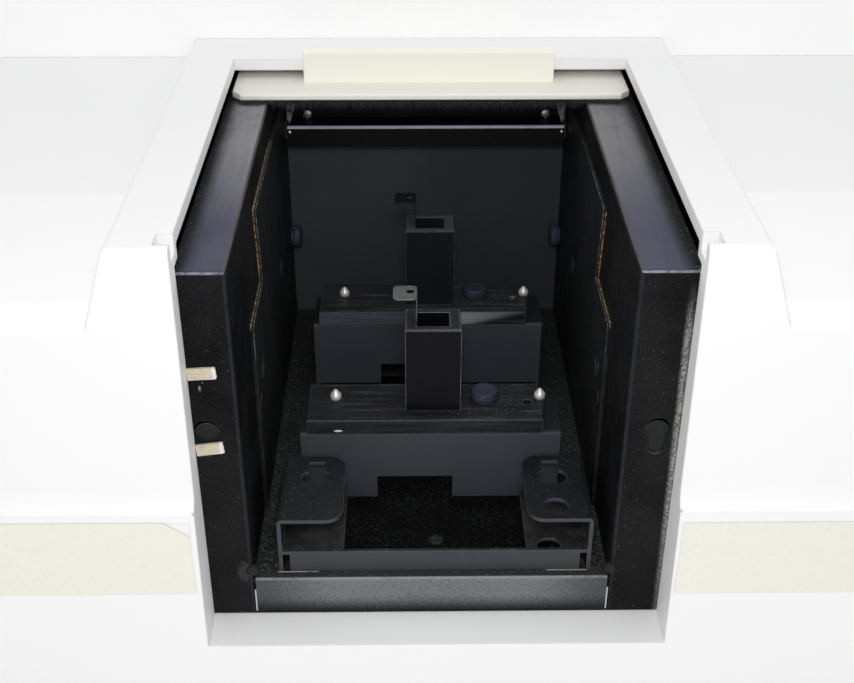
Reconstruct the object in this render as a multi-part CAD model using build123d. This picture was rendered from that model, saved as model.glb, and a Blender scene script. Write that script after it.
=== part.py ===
from build123d import *
from math import cos, pi, radians, sin, sqrt, tan
import os

# A bench spectrophotometer for ultraviolet and visible light, with its sample compartment open.
# Lengths are in millimetres. Everything is drawn in the opening's frame and moved once, when it is written:
# X runs to the right from the middle of the opening, Y runs back from the black front flanges,
# and Z runs up from the tops of the rails that carry the sliding lid.
# The written parts stand in the instrument's frame, with the origin under the middle of the case.

# Case
case_width = 1020.0
case_depth = 710.0
case_height = 380.0
foot_height = 22.0
rail_height = 250.0
opening_from_middle = 100.0
cover_wall = 4.0
front_lean = 2.2
front_setback = 22.8
belt_step = 4.2
belt_drop = 104.2
belt_gap = 0.4
flare_height = 10.0
flare_steps = 4
flare_bite = 0.2
tongue_gap = 0.3
tongue_thick = 1.5
tongue_rise = 4.0
case_corner = 10.0

# Raised surround of the opening, decks and rear block
opening_width = 202.4
opening_depth = 203.2
hump_top = 14.9
hump_width = 252.0
hump_draft = 17.0
rim_depth = 5.9
rim_edge = 2.5
deck_drop = 10.0
deck_slope = 13.8
slope_reach = 61.0
deck_round = 12.0
hump_depth = 236.0
cover_tongue = 10.0
hook_width = 6.4
hook_depth = 13.0
hook_drop = 8.0
return_wall = 4.0
ledge_drop = 176.3
panel_wrap = 40.0
rear_draft = 3.0
strip_height = 38.4
left_strip_drop = 108.1
right_strip_drop = 109.7
strip_thick = 0.4
strip_end_gap = 2.6
strip_margin = 30.0

# Black compartment, folded from sheet
sheet = 1.6
inner_width = 160.0
inner_shift = 2.0
flange_under = 2.0
bend = 2.2
floor_drop = 158.0
wall_depth = 246.0
lip_return = 5.6
lip_gap = 0.8
floor_hole_front = 18.0
floor_hole_back = 171.3
floor_hole_inset = 4.0
floor_hole_corner = 3.0
notch_radius = 3.0
notch_drop = 151.5
keyhole_radius = 5.3
keyhole_slot = 7.0
keyhole_drop = 74.5
keyhole_length = 13.0
keyhole_inset = 13.9
key_plate_stand = 8.0
ledge_front = 14.0
ledge_top_drop = 33.0
ledge_height = 12.0
ledge_ear = 5.0
wall_top_drop = 6.0
liner_thick = 1.5
liner_top_drop = 15.8
liner_step_drop = 55.5
liner_upper_front = 88.0
liner_step_front = 95.0
liner_lower_front = 52.5
window_radius = 6.0
window_rim = 3.0
window_thick = 2.0

# Sliding lid
lid_side_gap = 0.7
lid_lift = 1.9
lid_thick = 3.0
lid_length = 215.0
lid_front_open = 179.0
lid_corner_cut = 4.5
lid_corner_run = 4.5
runner_width = 8.0
runner_setback = 18.0
runner_lift = 0.3
handle_width = 128.4
handle_thick = 7.7
handle_height = 16.6
handle_gap = 0.3
felt_width = 6.0
felt_inset = 2.0
guide_clear = 0.6
guide_sheet = 1.5
guide_length = 160.0

# Cell blocks
beam_drop = 88.0
front_beam = 71.8
beam_pitch = 100.0
base_top_drop = 107.7
base_thick = 7.6
base_width = 110.4
base_depth = 31.0
base_front = 17.5
base_middle = -4.5
holder_width = 25.8
holder_depth = 19.4
holder_height = 44.2
holder_middle = -0.6
well_width = 15.6
well_depth = 12.8
well_floor = 6.0
beam_slot_width = 5.0
beam_slot_height = 16.0
pedestal_width = 122.6
pedestal_middle = -1.8
pedestal_sheet = 1.6
pedestal_lift = 4.7
notch_width = 36.2
notch_height = 17.0
notch_middle = -9.3
pin_radius = 2.6
pin_rise = 5.6
pin_left = -46.8
pin_right = 50.5
pin_clear = 0.3
knob_radius = 6.4
knob_height = 5.6
knob_edge = 0.7
knob_x = 24.0
knob_screw_radius = 2.5
knob_screw_length = 14.0
running_clear = 0.05
spare_hole_x = 44.5
spare_hole_radius = 2.2
clip_width = 9.0
clip_thick = 0.5
clip_rise = 14.8
clip_tab = 11.0
clip_tab_width = 13.0
clip_hole_radius = 1.8

# Accessory bracket in front of the cell blocks
bracket_sheet = 1.7
bracket_left = -70.8
bracket_right = 69.9
bracket_front = 6.0
bracket_back = 53.0
bracket_height = 30.5
bracket_shelf_rise = 12.6
bracket_tab = 29.3
bracket_round = 8.0
bracket_wall_inset = 5.0
bracket_key_inset = 16.0
bracket_key_back = 16.3
bracket_key_width = 14.0
bracket_key_depth = 10.0
bracket_key_slot = 7.6
bracket_key_reach = 12.0
bracket_hole_radius = 5.4
bracket_hole_front = 9.3
bracket_low_hole_inset = 18.9
bracket_low_hole_front = 3.0

# Small pieces of the compartment
pad_width = 12.0
pad_height = 6.4
pad_thick = 1.4
pad_tilt = 6.0
pad_upper_drop = 44.0
pad_lower_drop = 80.6
side_knob_drop = 104.0
side_knob_inset = 7.0

# Chassis and optical base
tray_sheet = 1.5
tray_wall = 26.0
tray_vent_side = 120.0
tray_vent_back = 160.0
foot_radius = 17.0
foot_inset = 60.0
optic_top_drop = 196.0
optic_thick = 12.0
optic_margin = 24.0
optic_corner = 20.0
isolator_radius = 16.0
post_radius = 7.0
rear_panel_inset = 10.0

# Inner units
mono_gap = 68.0
mono_width = 230.0
mono_front = 230.0
mono_depth = 300.0
mono_height = 135.0
mono_wall = 8.0
mono_cover_thick = 5.0
mono_corner = 12.0
collimator_gap = 10.0
collimator_thick = 12.0
collimator_foot = 48.0
collimator_radius = 31.0
collimator_pitch = 100.0
slit_width = 6.0
slit_height = 20.0
slit_steps = 6
slit_narrow = 0.8
turret_radius = 26.0
turret_height = 10.0
grating_inset = 66.0
exit_share = 0.66
grating_size = 50.0
grating_thick = 9.0
source_side_gap = 28.0
source_width = 84.0
source_front = 300.0
source_depth = 190.0
source_height = 115.0
source_wall = 2.0
source_slots = 5
lamp_inset = 30.0
lamp_height = 62.0
lamp_socket_height = 40.0
lamp_socket_wall = 4.0
bulb_height = 34.0
flip_table_top = 8.0
flip_thick = 4.0
flip_width = 22.0
flip_height = 54.0
lamp_radius = 15.0
bulb_radius = 7.0
motor_size = 42.0
motor_length = 34.0
motor_corner = 4.0
shaft_radius = 2.5
shaft_bore_depth = 12.0
wheel_radius = 36.0
wheel_thick = 4.0
wheel_gap = 3.0
filter_radius = 8.0
filter_count = 6
chopper_radius = 42.0
chopper_thick = 2.0
chopper_blades = 2
chopper_gap = 20.0
chopper_hub = 10.0
slit_disc_radius = 30.0
slit_disc_thick = 1.5
mirror_size = 25.0
mirror_thick = 5.0
mirror_post_radius = 6.0
mirror_reach = 66.0
mirror_right_reach = 60.0
detector_gap = 40.0
detector_width = 110.0
detector_front = 40.0
detector_depth = 165.0
detector_height = 118.0
detector_wall = 3.0
tube_radius = 14.0
tube_height = 74.0
tube_socket_height = 26.0
tube_socket_wall = 3.0
board_side_gap = 50.0
board_width = 230.0
board_front = 405.0
board_depth = 200.0
board_thick = 1.6
board_stand = 8.0
stand_half = 4.0
chip_pitch = 54.0
chip_length = 36.0
chip_width = 16.0
chip_rise = 4.0
capacitor_radius = 10.0
capacitor_height = 26.0
supply_gap = 20.0
supply_width = 150.0
supply_front = 450.0
supply_depth = 120.0
supply_height = 90.0
supply_limb = 26.0
supply_yoke = 14.0
fan_size = 92.0
fan_depth = 25.0
fan_rim = 4.0
fan_arm = 3.0
fan_hub_radius = 16.0
fan_pitch = 35.0
fan_blade_width = 18.0
grille_pitch = 7.0
grille_half_count = 5
grille_bar = 4.0
fan_side_gap = 280.0
fan_drop = 40.0
fan_blades = 7
inlet_side_gap = 110.0
inlet_drop = 150.0
inlet_width = 48.0
inlet_height = 27.0
inlet_depth = 22.0
rocker_side_gap = 55.0
rocker_width = 14.0
rocker_height = 24.0
connector_side_gap = 200.0
connector_width = 66.0
connector_height = 17.0
inlet_flange = 2.5
inlet_side = 3.0
inlet_end = 2.0
inlet_round = 2.0
inlet_wall_side = 6.0
inlet_wall_end = 3.0
inlet_base = 4.0
blade_pitch = 7.0
blade_offset = 2.0
blade_half_width = 1.0
blade_half_height = 2.0
blade_setback = 2.0
rocker_bezel = 2.0
rocker_side = 3.0
rocker_end = 4.0
rocker_depth = 22.0
rocker_well = 14.0
rocker_clear = 0.4
rocker_swing = 2.8
rocker_pivot = 1.5
rocker_pivot_depth = 4.0
rocker_low = 1.0
rocker_middle = 2.4
rocker_high = 5.2
rocker_foot_share = 0.7
connector_flange = 1.2
connector_side = 9.0
connector_end = 3.0
connector_clear = 3.0
connector_rise = 7.0
connector_depth = 8.0
connector_wall = 2.5
stud_radius = 2.6
stud_inset = 4.0
stud_rise = 6.0
vent_count = 9
vent_width = 4.0
vent_height = 46.0
vent_pitch = 14.0
vent_side_gap = 350.0
vent_drop = 90.0

# Places worked out from the sizes above
case_left = -case_width / 2 - opening_from_middle
case_right = case_width / 2 - opening_from_middle
case_low = foot_height - rail_height
case_top = case_height - rail_height
case_front = -front_setback
case_back = case_depth - front_setback
ground = -rail_height
lean = tan(radians(front_lean))
slope = tan(radians(deck_slope))
deck_z = hump_top - deck_drop
cover_left = case_left + belt_step
cover_right = case_right - belt_step
cover_low = -belt_drop + belt_gap / 2
panel_high = -belt_drop - belt_gap / 2
tongue_end = hump_depth + cover_tongue
half_opening = opening_width / 2
wall_left = -inner_shift - inner_width / 2
wall_right = -inner_shift + inner_width / 2
flange_left = -half_opening - flange_under
flange_right = half_opening + flange_under
rear_beam = front_beam + beam_pitch
lid_half = half_opening - lid_side_gap
lid_top = lid_lift + lid_thick
optic_z = -optic_top_drop
tray_z = case_low + tray_sheet
panel_y = case_back - rear_panel_inset
source_left = case_left + source_side_gap
mono_left = source_left + source_width + mono_gap
supply_left = mono_left + mono_width + supply_gap
mirror_left = wall_left - mirror_reach
mirror_right = wall_right + mirror_right_reach
detector_left = mirror_right + detector_gap
board_left = case_right - board_side_gap - board_width
fan_x = case_left + fan_side_gap
inlet_x = case_right - inlet_side_gap
rocker_x = case_right - rocker_side_gap
connector_x = case_right - connector_side_gap
vent_x = case_right - vent_side_gap
vent_z = case_top - vent_drop
grating_x = mono_left + grating_inset
grating_y = mono_front + grating_inset
exit_x = mono_left + mono_width * exit_share
slit_disc_y = mono_front - wheel_gap - slit_disc_thick
slit_disc_z = -beam_drop - slit_disc_radius * 0.6
source_mirror_x = source_left + source_width / 2
source_mirror_y = source_front + source_depth / 2
wheel_x = mono_left - wheel_gap - 2 * wheel_thick
wheel_y = source_front + source_depth / 2
filter_wheel_z = -beam_drop - wheel_radius + filter_radius + wheel_thick
chopper_x = mirror_left - chopper_gap
chopper_y = (front_beam + rear_beam) / 2
motor_top = optic_z + motor_length

to_instrument = Location((opening_from_middle, front_setback - case_depth / 2, rail_height))


def span(x, y, z):
    """A block between two limits on each axis."""
    size = (x[1] - x[0], y[1] - y[0], z[1] - z[0])
    return Pos((x[0] + x[1]) / 2, (y[0] + y[1]) / 2, (z[0] + z[1]) / 2) * Box(*size)


def rod(x, y, z, radius):
    """An upright cylinder; z holds its lower and upper end."""
    return Pos(x, y, (z[0] + z[1]) / 2) * Cylinder(radius, z[1] - z[0])


def rod_along_y(x, y, z, radius):
    """A level cylinder that runs back; y holds its two ends."""
    return Pos(x, (y[0] + y[1]) / 2, z) * Rot(90, 0, 0) * Cylinder(radius, y[1] - y[0])


def rod_along_x(x, y, z, radius):
    """A level cylinder that runs across; x holds its two ends."""
    return Pos((x[0] + x[1]) / 2, y, z) * Rot(0, 90, 0) * Cylinder(radius, x[1] - x[0])


def side_profile(points, x):
    """A shape drawn seen from the side, as (y, z) points, and stretched between two x."""
    return extrude(Plane.YZ.offset(x[0]) * Polygon(*points, align=None), x[1] - x[0], dir=(1, 0, 0))


def front_profile(points, y):
    """A shape drawn seen from the front, as (x, z) points, and stretched between two y."""
    outline = Plane.XZ.offset(-y[0]) * Polygon(*points, align=None)
    return extrude(outline, y[1] - y[0], dir=(0, 1, 0))


def top_profile(outline, z):
    """A flat sketch in X and Y, stretched between two heights."""
    return extrude(Pos(0, 0, z[0]) * outline, z[1] - z[0], dir=(0, 0, 1))


def rounded_panel(x, y, z, radius):
    """A block with its four upright edges rounded."""
    outline = Pos((x[0] + x[1]) / 2, (y[0] + y[1]) / 2) * RectangleRounded(x[1] - x[0], y[1] - y[0], radius)
    return top_profile(outline, z)


def lower_face(z):
    """Where the lower front panel's leaning face stands at a height."""
    return case_front + (z - case_low) * lean


def upper_face(z):
    """Where the upper cover's face stands: parallel to the lower one, set back by the step at the belt."""
    return lower_face(z) + belt_step


# Case

def cover_body(inset):
    """The decks and front of the upper cover as one solid; inset shrinks it to the hollow inside."""
    rise = inset / cos(radians(deck_slope))
    foot = upper_face(0) + inset
    nose_z = (deck_z - rise + (foot - slope_reach) * slope) / (1 - lean * slope)
    nose = (foot + lean * nose_z, nose_z)
    crest = (slope_reach + (rise - inset) / slope, deck_z - inset)
    back = tongue_end + inset
    low = cover_low - inset
    points = [(foot + lean * low, low), nose, crest, (back, deck_z - inset), (back, low)]
    profile = Polygon(*points, align=None)
    nose_corner = profile.vertices().sort_by_distance((nose[0], nose[1], 0))[0]
    profile = fillet(nose_corner, deck_round - inset)
    left = cover_left + inset
    length = cover_right - cover_left - 2 * inset
    body = extrude(Plane.YZ.offset(left) * profile, length, dir=(1, 0, 0))
    upright = body.edges().filter_by(lambda edge: edge.center().Z < deck_z - deck_round)
    upright = upright.filter_by(lambda edge: edge.center().Y < slope_reach and edge.length > belt_drop / 2)
    corners = upright.filter_by(lambda edge: abs(edge.center().X - left - length / 2) > length / 2 - 1)
    return fillet(corners, case_corner - inset)


def hump_body(inset, top):
    """The raised surround as one solid with drafted sides and a leaning front."""
    spread = tan(radians(hump_draft))
    low = deck_z - deck_drop * 4
    half_top = hump_width / 2 - inset + (hump_top - top) * spread
    half_low = half_top + (top - low) * spread
    y = (case_front - inset, tongue_end + inset)
    body = front_profile([(-half_low, low), (half_low, low), (half_top, top), (-half_top, top)], y)
    front = [(upper_face(low) + inset, low), (upper_face(top) + inset, top)]
    body = body & side_profile([*front, (y[1], top), (y[1], low)], (-half_low, half_low))
    if inset > 0:
        return body
    edges = body.edges().filter_by(lambda edge: edge.center().Z > top - 0.1 and edge.center().Y < hump_depth)
    return fillet(edges, rim_edge)


def flare(y_end):
    """The belt's flare: the cover's lower edge curves out to the lower panel, in a hollow quarter round.
    Its upper edge starts a little inside the cover's wall."""
    sections = []
    for step in range(flare_steps + 1):
        turn = pi / 2 * step / flare_steps
        outward = belt_step * (1 - cos(turn)) if step > 0 else -flare_bite
        z = cover_low + flare_height * (1 - sin(turn))
        x = (cover_left - outward, cover_right + outward)
        y = (upper_face(z) - outward, y_end)
        middle = Pos((x[0] + x[1]) / 2, (y[0] + y[1]) / 2, z)
        outline = Rectangle(x[1] - x[0], y[1] - y[0])
        front = outline.vertices().sort_by(Axis.Y)[:2]
        sections.append(middle * fillet(front, case_corner + outward))
    return loft(sections, ruled=True)


def upper_cover_shape():
    """The whole outer form of the front cover, before it is hollowed."""
    return cover_body(0) + hump_body(0, hump_top)


def opening_cut():
    """The opening in the top and the front; below its rim it runs on to the back wall."""
    front = case_front - cover_wall
    x = (-half_opening, half_opening)
    top = span(x, (front, opening_depth), (0, hump_top + 1))
    return top + span(x, (front, wall_depth), (cover_low - flare_height, 1))


def side_returns(low, high, face):
    """The walls that turn back from the front face to the black flanges, at both sides of the opening."""
    points = [(face(low), low), (face(high), high), (0, high), (0, low)]
    left = side_profile(points, (-half_opening - return_wall, -half_opening))
    right = side_profile(points, (half_opening, half_opening + return_wall))
    return left + right


def hook_pocket(side, wall, top):
    """The pocket behind the front wall for a hook of the front cover, or its lining where wall is more than 0."""
    x = sorted((side * half_opening, side * (half_opening + hook_width + wall)))
    y = (upper_face(hump_top) + cover_wall - wall / 2, upper_face(hump_top) + hook_depth + wall)
    return span(x, y, (hump_top - hook_drop - wall, top))


def upper_cover():
    inside = cover_body(cover_wall) + hump_body(cover_wall, hump_top - rim_depth)
    shell = upper_cover_shape() + flare(tongue_end) - inside - opening_cut()
    shell = shell + side_returns(cover_low, hump_top - rim_depth, upper_face)
    for side in (-1, 1):
        shell = shell + hook_pocket(side, return_wall, hump_top - rim_depth / 2)
        shell = shell - hook_pocket(side, 0, hump_top + 1)
    return shell


def lower_panel_body(inset):
    """The lower panel with its wrapped ends, as one solid."""
    low = case_low - inset
    high = panel_high + inset
    points = [(lower_face(low) + inset, low), (lower_face(high) + inset, high)]
    points += [(panel_wrap + inset, high), (panel_wrap + inset, low)]
    body = side_profile(points, (case_left + inset, case_right - inset))
    front = body.edges().filter_by(lambda edge: edge.center().Y < 0 and edge.length > belt_drop / 2)
    upright = front.filter_by(lambda edge: edge.bounding_box().size.X < 1)
    return fillet(upright, case_corner + belt_step - inset)


def belt_tongue():
    """A shelf and upstand inside the belt's gap, so that the upper cover locates on the lower panel."""
    near = belt_step + cover_wall + tongue_gap
    far = near + tongue_thick
    width = (case_left, case_right)
    depth = (case_front, panel_wrap)
    shelf = lower_panel_body(cover_wall) - lower_panel_body(far)
    shelf = shelf & span(width, depth, (panel_high - tongue_thick, panel_high))
    upstand = lower_panel_body(near) - lower_panel_body(far)
    upstand = upstand & span(width, depth, (panel_high - tongue_thick, cover_low + tongue_rise))
    half = half_opening + return_wall + tongue_gap
    return shelf + upstand - span((-half, half), depth, (panel_high - far, cover_low + far))


def lower_front_panel():
    shell = lower_panel_body(0) - lower_panel_body(cover_wall) + belt_tongue()
    x = (-half_opening, half_opening)
    shell = shell - span(x, (case_front, 0), (-ledge_drop, panel_high + 1))
    shell = shell + side_returns(-ledge_drop - cover_wall, panel_high, lower_face)
    ledge = [(lower_face(z), z) for z in (-ledge_drop - cover_wall, -ledge_drop)]
    ledge += [(0, -ledge_drop), (0, -ledge_drop - cover_wall)]
    return shell + side_profile(ledge, x)


def rear_top_cover():
    y = (hump_depth, case_back)
    lift = (case_top - deck_z) * tan(radians(rear_draft))
    front = [(y[0], cover_low), (y[0], deck_z), (y[0] + lift, case_top)]
    outer = side_profile([*front, (y[1], case_top), (y[1], cover_low)], (cover_left, cover_right))
    top_edges = outer.edges().filter_by(lambda edge: edge.center().Z > case_top - 0.1)
    outer = fillet(top_edges, case_corner)
    wall = cover_wall
    hollow = [(y[0] + wall, cover_low - 1), (y[0] + wall, deck_z), (y[0] + lift + wall, case_top - wall)]
    hollow += [(y[1] + 1, case_top - wall), (y[1] + 1, cover_low - 1)]
    inner = side_profile(hollow, (cover_left + wall, cover_right - wall))
    cover = outer + flare(case_back) - inner
    flare_front = span((case_left, case_right), (case_front, hump_depth), (cover_low, cover_low + flare_height))
    return cover - flare_front - upper_cover_shape() - flare(tongue_end)


def side_skirt(left):
    """A flat lower side panel between the front panel's wrapped end and the back."""
    side = 1 if left else -1
    outer = case_left if left else case_right
    near = belt_step + cover_wall + tongue_gap
    y = (panel_wrap, panel_y - sheet)
    wall = span(sorted((outer, outer + side * cover_wall)), (panel_wrap, case_back), (case_low, panel_high))
    shelf_x = sorted((outer + side * cover_wall, outer + side * (near + tongue_thick)))
    shelf = span(shelf_x, y, (panel_high - tongue_thick, panel_high))
    upstand_x = sorted((outer + side * near, outer + side * (near + tongue_thick)))
    return wall + shelf + span(upstand_x, y, (panel_high - tongue_thick, cover_low + tongue_rise))


def front_strip(left):
    """A plain strip stuck to the lower panel beside the opening."""
    high = -left_strip_drop if left else -right_strip_drop
    low = high - strip_height
    inner = half_opening + strip_end_gap
    x = (case_left + strip_margin, -inner) if left else (inner, case_right - strip_margin)
    points = [(lower_face(z), z) for z in (low, high)]
    points += [(lower_face(z) - strip_thick, z) for z in (high, low)]
    return side_profile(points, x)


def chassis_tray():
    """The sheet tray that closes the case below, with turned-up edges."""
    x = (case_left + cover_wall, case_right - cover_wall)
    y = (lower_face(case_low + tray_wall) + cover_wall, panel_y - sheet)
    corner = case_corner + belt_step
    tray = rounded_panel(x, y, (case_low, case_low + tray_wall), corner)
    hollow_x = (x[0] + tray_sheet, x[1] - tray_sheet)
    hollow_y = (y[0] + tray_sheet, y[1] - tray_sheet)
    tray = tray - rounded_panel(hollow_x, hollow_y, (tray_z, case_low + tray_wall + 1), corner - tray_sheet)
    slot_y = (case_back - tray_vent_back, case_back - tray_vent_back + vent_height)
    for column in range(vent_count):
        for start in (case_left + tray_vent_side, case_right - tray_vent_side - vent_count * vent_pitch):
            vent_left = start + column * vent_pitch
            tray = tray - span((vent_left, vent_left + vent_width), slot_y, (case_low - 1, tray_z + 1))
    return tray


def foot_places():
    """The four feet, near the corners."""
    for x in (case_left + foot_inset, case_right - foot_inset):
        for y in (case_front + foot_inset + panel_wrap, case_back - foot_inset):
            yield x, y


def feet():
    shapes = []
    for x, y in foot_places():
        cone = Pos(x, y, ground + foot_height / 2) * Cone(foot_radius * 0.85, foot_radius, foot_height)
        shapes.append(cone)
    return shapes


def base_isolators():
    shapes = []
    for x, y in foot_places():
        shapes.append(rod(x, y, (tray_z, optic_z - optic_thick), isolator_radius))
    return shapes


# Black compartment

def keyhole(center_x, y):
    """A round hole with a narrower slot below, cut through sheet between two y."""
    hole = rod_along_y(center_x, y, -keyhole_drop, keyhole_radius)
    half = keyhole_slot / 2
    end = -keyhole_drop - keyhole_length + half
    slot = span((center_x - half, center_x + half), y, (end, -keyhole_drop))
    return hole + slot + rod_along_y(center_x, y, end, half)


def keyhole_place(left):
    return wall_left - keyhole_inset if left else wall_right + keyhole_inset


def rail_frame(left):
    """One side of the compartment: side wall, top flange for the lid and front flange, folded from one sheet."""
    wall = (wall_left - sheet, wall_left) if left else (wall_right, wall_right + sheet)
    flange = (flange_left, wall_left) if left else (wall_right, flange_right)
    block = span(flange, (0, wall_depth), (-ledge_drop, 0))
    edges = block.edges().filter_by(lambda edge: edge.center().Z > -0.1 and edge.center().Y < 0.1)
    inner = block.edges().filter_by(lambda edge: abs(edge.center().X - (wall_left if left else wall_right)) < 0.1)
    inner = inner.filter_by(lambda edge: edge.center().Z > -0.1 or edge.center().Y < 0.1)
    block = fillet(edges + inner, bend)
    outer = flange[0] - 1 if left else flange[1] + 1
    hollow_x = sorted((outer, wall[0] if left else wall[1]))
    frame = block - span(hollow_x, (sheet, wall_depth + 1), (-ledge_drop - 1, -sheet))
    below = sorted((outer, wall_left + 1 if left else wall_right - 1))
    frame = frame - span(below, (sheet, wall_depth + 1), (-ledge_drop - 1, -floor_drop))
    through = sorted((wall[0] - 1, wall[1] + 1))
    for beam in (front_beam, rear_beam):
        frame = frame - rod_along_x(through, beam, -beam_drop, window_radius)
    edge_x = wall_left if left else wall_right
    frame = frame - rod_along_y(edge_x, (-1, sheet + 1), -notch_drop, notch_radius)
    return frame - keyhole(keyhole_place(left), (-1, sheet + 1))


def front_lip():
    """The sheet below the opening: a front face with its top edge turned back over the floor."""
    x = (wall_left + lip_gap, wall_right - lip_gap)
    top = -floor_drop + sheet
    block = span(x, (0, lip_return), (-ledge_drop, top))
    edge = block.edges().filter_by(lambda e: e.center().Z > top - 0.1 and e.center().Y < 0.1)
    block = fillet(edge, bend)
    return block - span((x[0] - 1, x[1] + 1), (sheet, lip_return + 1), (-ledge_drop - 1, -floor_drop))


def compartment_floor():
    """The floor sheet, cut out in the middle so that the casting below shows between the pedestals' legs."""
    x = (wall_left - sheet, wall_right + sheet)
    z = (-floor_drop - sheet, -floor_drop)
    half = pedestal_width / 2 - pedestal_sheet - floor_hole_inset
    hole_x = (pedestal_middle - half, pedestal_middle + half)
    hole = rounded_panel(hole_x, (floor_hole_front, floor_hole_back), (z[0] - 1, z[1] + 1), floor_hole_corner)
    return span(x, (sheet, wall_depth + sheet), z) - hole


def back_wall():
    x = (wall_left, wall_right)
    return span(x, (wall_depth - sheet, wall_depth), (-floor_drop, -wall_top_drop))


def back_ledge():
    """A folded channel across the back wall, with a small tapered ear turned up at each end."""
    x = (wall_left + 2 * sheet, wall_right - 2 * sheet)
    face = wall_depth - sheet - ledge_front
    z = (-ledge_top_drop - ledge_height, -ledge_top_drop)
    block = span(x, (face, wall_depth - sheet), z)
    edge = block.edges().filter_by(lambda e: e.center().Z > z[1] - 0.1 and e.center().Y < face + 0.1)
    block = fillet(edge, bend)
    block = block - span((x[0] - 1, x[1] + 1), (face + sheet, wall_depth), (z[0] - 1, z[1] - sheet))
    ear_y = (face + bend, face + bend + sheet)
    for end, side in ((x[0], 1), (x[1], -1)):
        ear = [(end, z[1] - sheet / 2), (end + side * sheet / 2, z[1] - sheet / 2)]
        ear += [(end + side * ledge_ear, z[1] + ledge_height), (end, z[1] + ledge_height)]
        block = block + front_profile(ear, ear_y)
    return block


def liner(left):
    """A stepped plate on the side wall, cut back above and cut out for both beams."""
    x = (wall_left, wall_left + liner_thick) if left else (wall_right - liner_thick, wall_right)
    end = wall_depth - sheet
    points = [(end, -floor_drop), (end, -liner_top_drop), (liner_upper_front, -liner_top_drop)]
    points += [(liner_step_front, -liner_step_drop), (liner_lower_front, -liner_step_drop)]
    points += [(liner_lower_front, -floor_drop)]
    plate = side_profile(points, x)
    ledge_face = wall_depth - sheet - ledge_front
    ledge_low = -ledge_top_drop - ledge_height
    through = (x[0] - 1, x[1] + 1)
    plate = plate - span(through, (ledge_face - 1, end + 1), (ledge_low - 1, 0))
    for beam in (front_beam, rear_beam):
        plate = plate - rod_along_x(through, beam, -beam_drop, window_radius)
    return plate - rod_along_x(through, wall_depth - sheet - side_knob_inset, -side_knob_drop, knob_screw_radius)


def beam_windows():
    """Round windows that close the beam holes, on the outer faces of the side walls."""
    shapes = []
    for beam in (front_beam, rear_beam):
        left = (wall_left - sheet - window_thick, wall_left - sheet)
        right = (wall_right + sheet, wall_right + sheet + window_thick)
        for x in (left, right):
            shapes.append(rod_along_x(x, beam, -beam_drop, window_radius + window_rim))
    return shapes


def side_knob(left):
    """A knurled screw that holds the liner near the back wall."""
    y = wall_depth - sheet - side_knob_inset
    seat = wall_left + liner_thick if left else wall_right - liner_thick
    side = 1 if left else -1
    head = rod_along_x(sorted((seat + side * 0.05, seat + side * knob_height)), y, -side_knob_drop, knob_radius)
    rim = head.edges().filter_by(GeomType.CIRCLE).sort_by(lambda edge: side * edge.center().X)[-1]
    head = chamfer(rim, knob_edge)
    shank = rod_along_x(sorted((seat - side * liner_thick, seat + side)), y, -side_knob_drop,
                        knob_screw_radius - running_clear)
    return head + shank


def keyhole_plates():
    """A bent plate behind each keyhole, with its edge against the flange."""
    shapes = []
    for left in (True, False):
        x = keyhole_place(left)
        half = keyhole_radius + sheet
        z = (-keyhole_drop - keyhole_length - sheet, -keyhole_drop + keyhole_radius + sheet)
        plate = span((x - half, x + half), (sheet, sheet + key_plate_stand), z)
        inner_x = (x - half + sheet, x + half - sheet) if half < keyhole_inset else (x - half, x + half)
        shapes.append(plate - span(inner_x, (0, key_plate_stand), (z[0] - 1, z[1] + 1)))
    return shapes


def foam_pads():
    """Two short cream foam pads stuck across the left front flange."""
    shapes = []
    for drop in (pad_upper_drop, pad_lower_drop):
        x = -half_opening + pad_width / 2 + 0.5
        pad = Pos(x, -pad_thick / 2, -drop) * Rot(0, -pad_tilt, 0) * Box(pad_width, pad_thick, pad_height)
        shapes.append(pad)
    return shapes


# Sliding lid

def lid_outline(front, back):
    """The lid seen from above, with its two front corners cut off."""
    return Polygon((-lid_half, front + lid_corner_run), (-lid_half + lid_corner_cut, front),
                   (lid_half - lid_corner_cut, front), (lid_half, front + lid_corner_run),
                   (lid_half, back), (-lid_half, back), align=None)


def lid_plate():
    back = lid_front_open + lid_length
    plate = top_profile(lid_outline(lid_front_open, back), (lid_lift, lid_top))
    edge = plate.edges().filter_by(lambda e: e.center().Z > lid_top - 0.1 and e.center().Y < lid_front_open + 1)
    plate = fillet(edge, lid_thick / 3)
    for side in (-1, 1):
        x = sorted((side * (lid_half - 2), side * (lid_half - 2 - runner_width)))
        y = (lid_front_open + runner_setback, back)
        plate = plate + span(x, y, (runner_lift, lid_lift))
    return plate


def lid_handle():
    """The bar that stops against the rear rim when the lid is open."""
    back = opening_depth - handle_gap
    bar = span((-handle_width / 2 - 1, handle_width / 2 - 1), (back - handle_thick, back),
               (lid_top, lid_top + handle_height))
    upper = bar.edges().filter_by(lambda e: e.center().Z > lid_top + 1)
    return fillet(upper, 1.0)


def lid_felt():
    """A felt strip under the lid's front edge."""
    half = lid_half - lid_corner_cut - 2
    y = (lid_front_open + felt_inset, lid_front_open + felt_inset + felt_width)
    return span((-half, half), y, (runner_lift, lid_lift))


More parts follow.
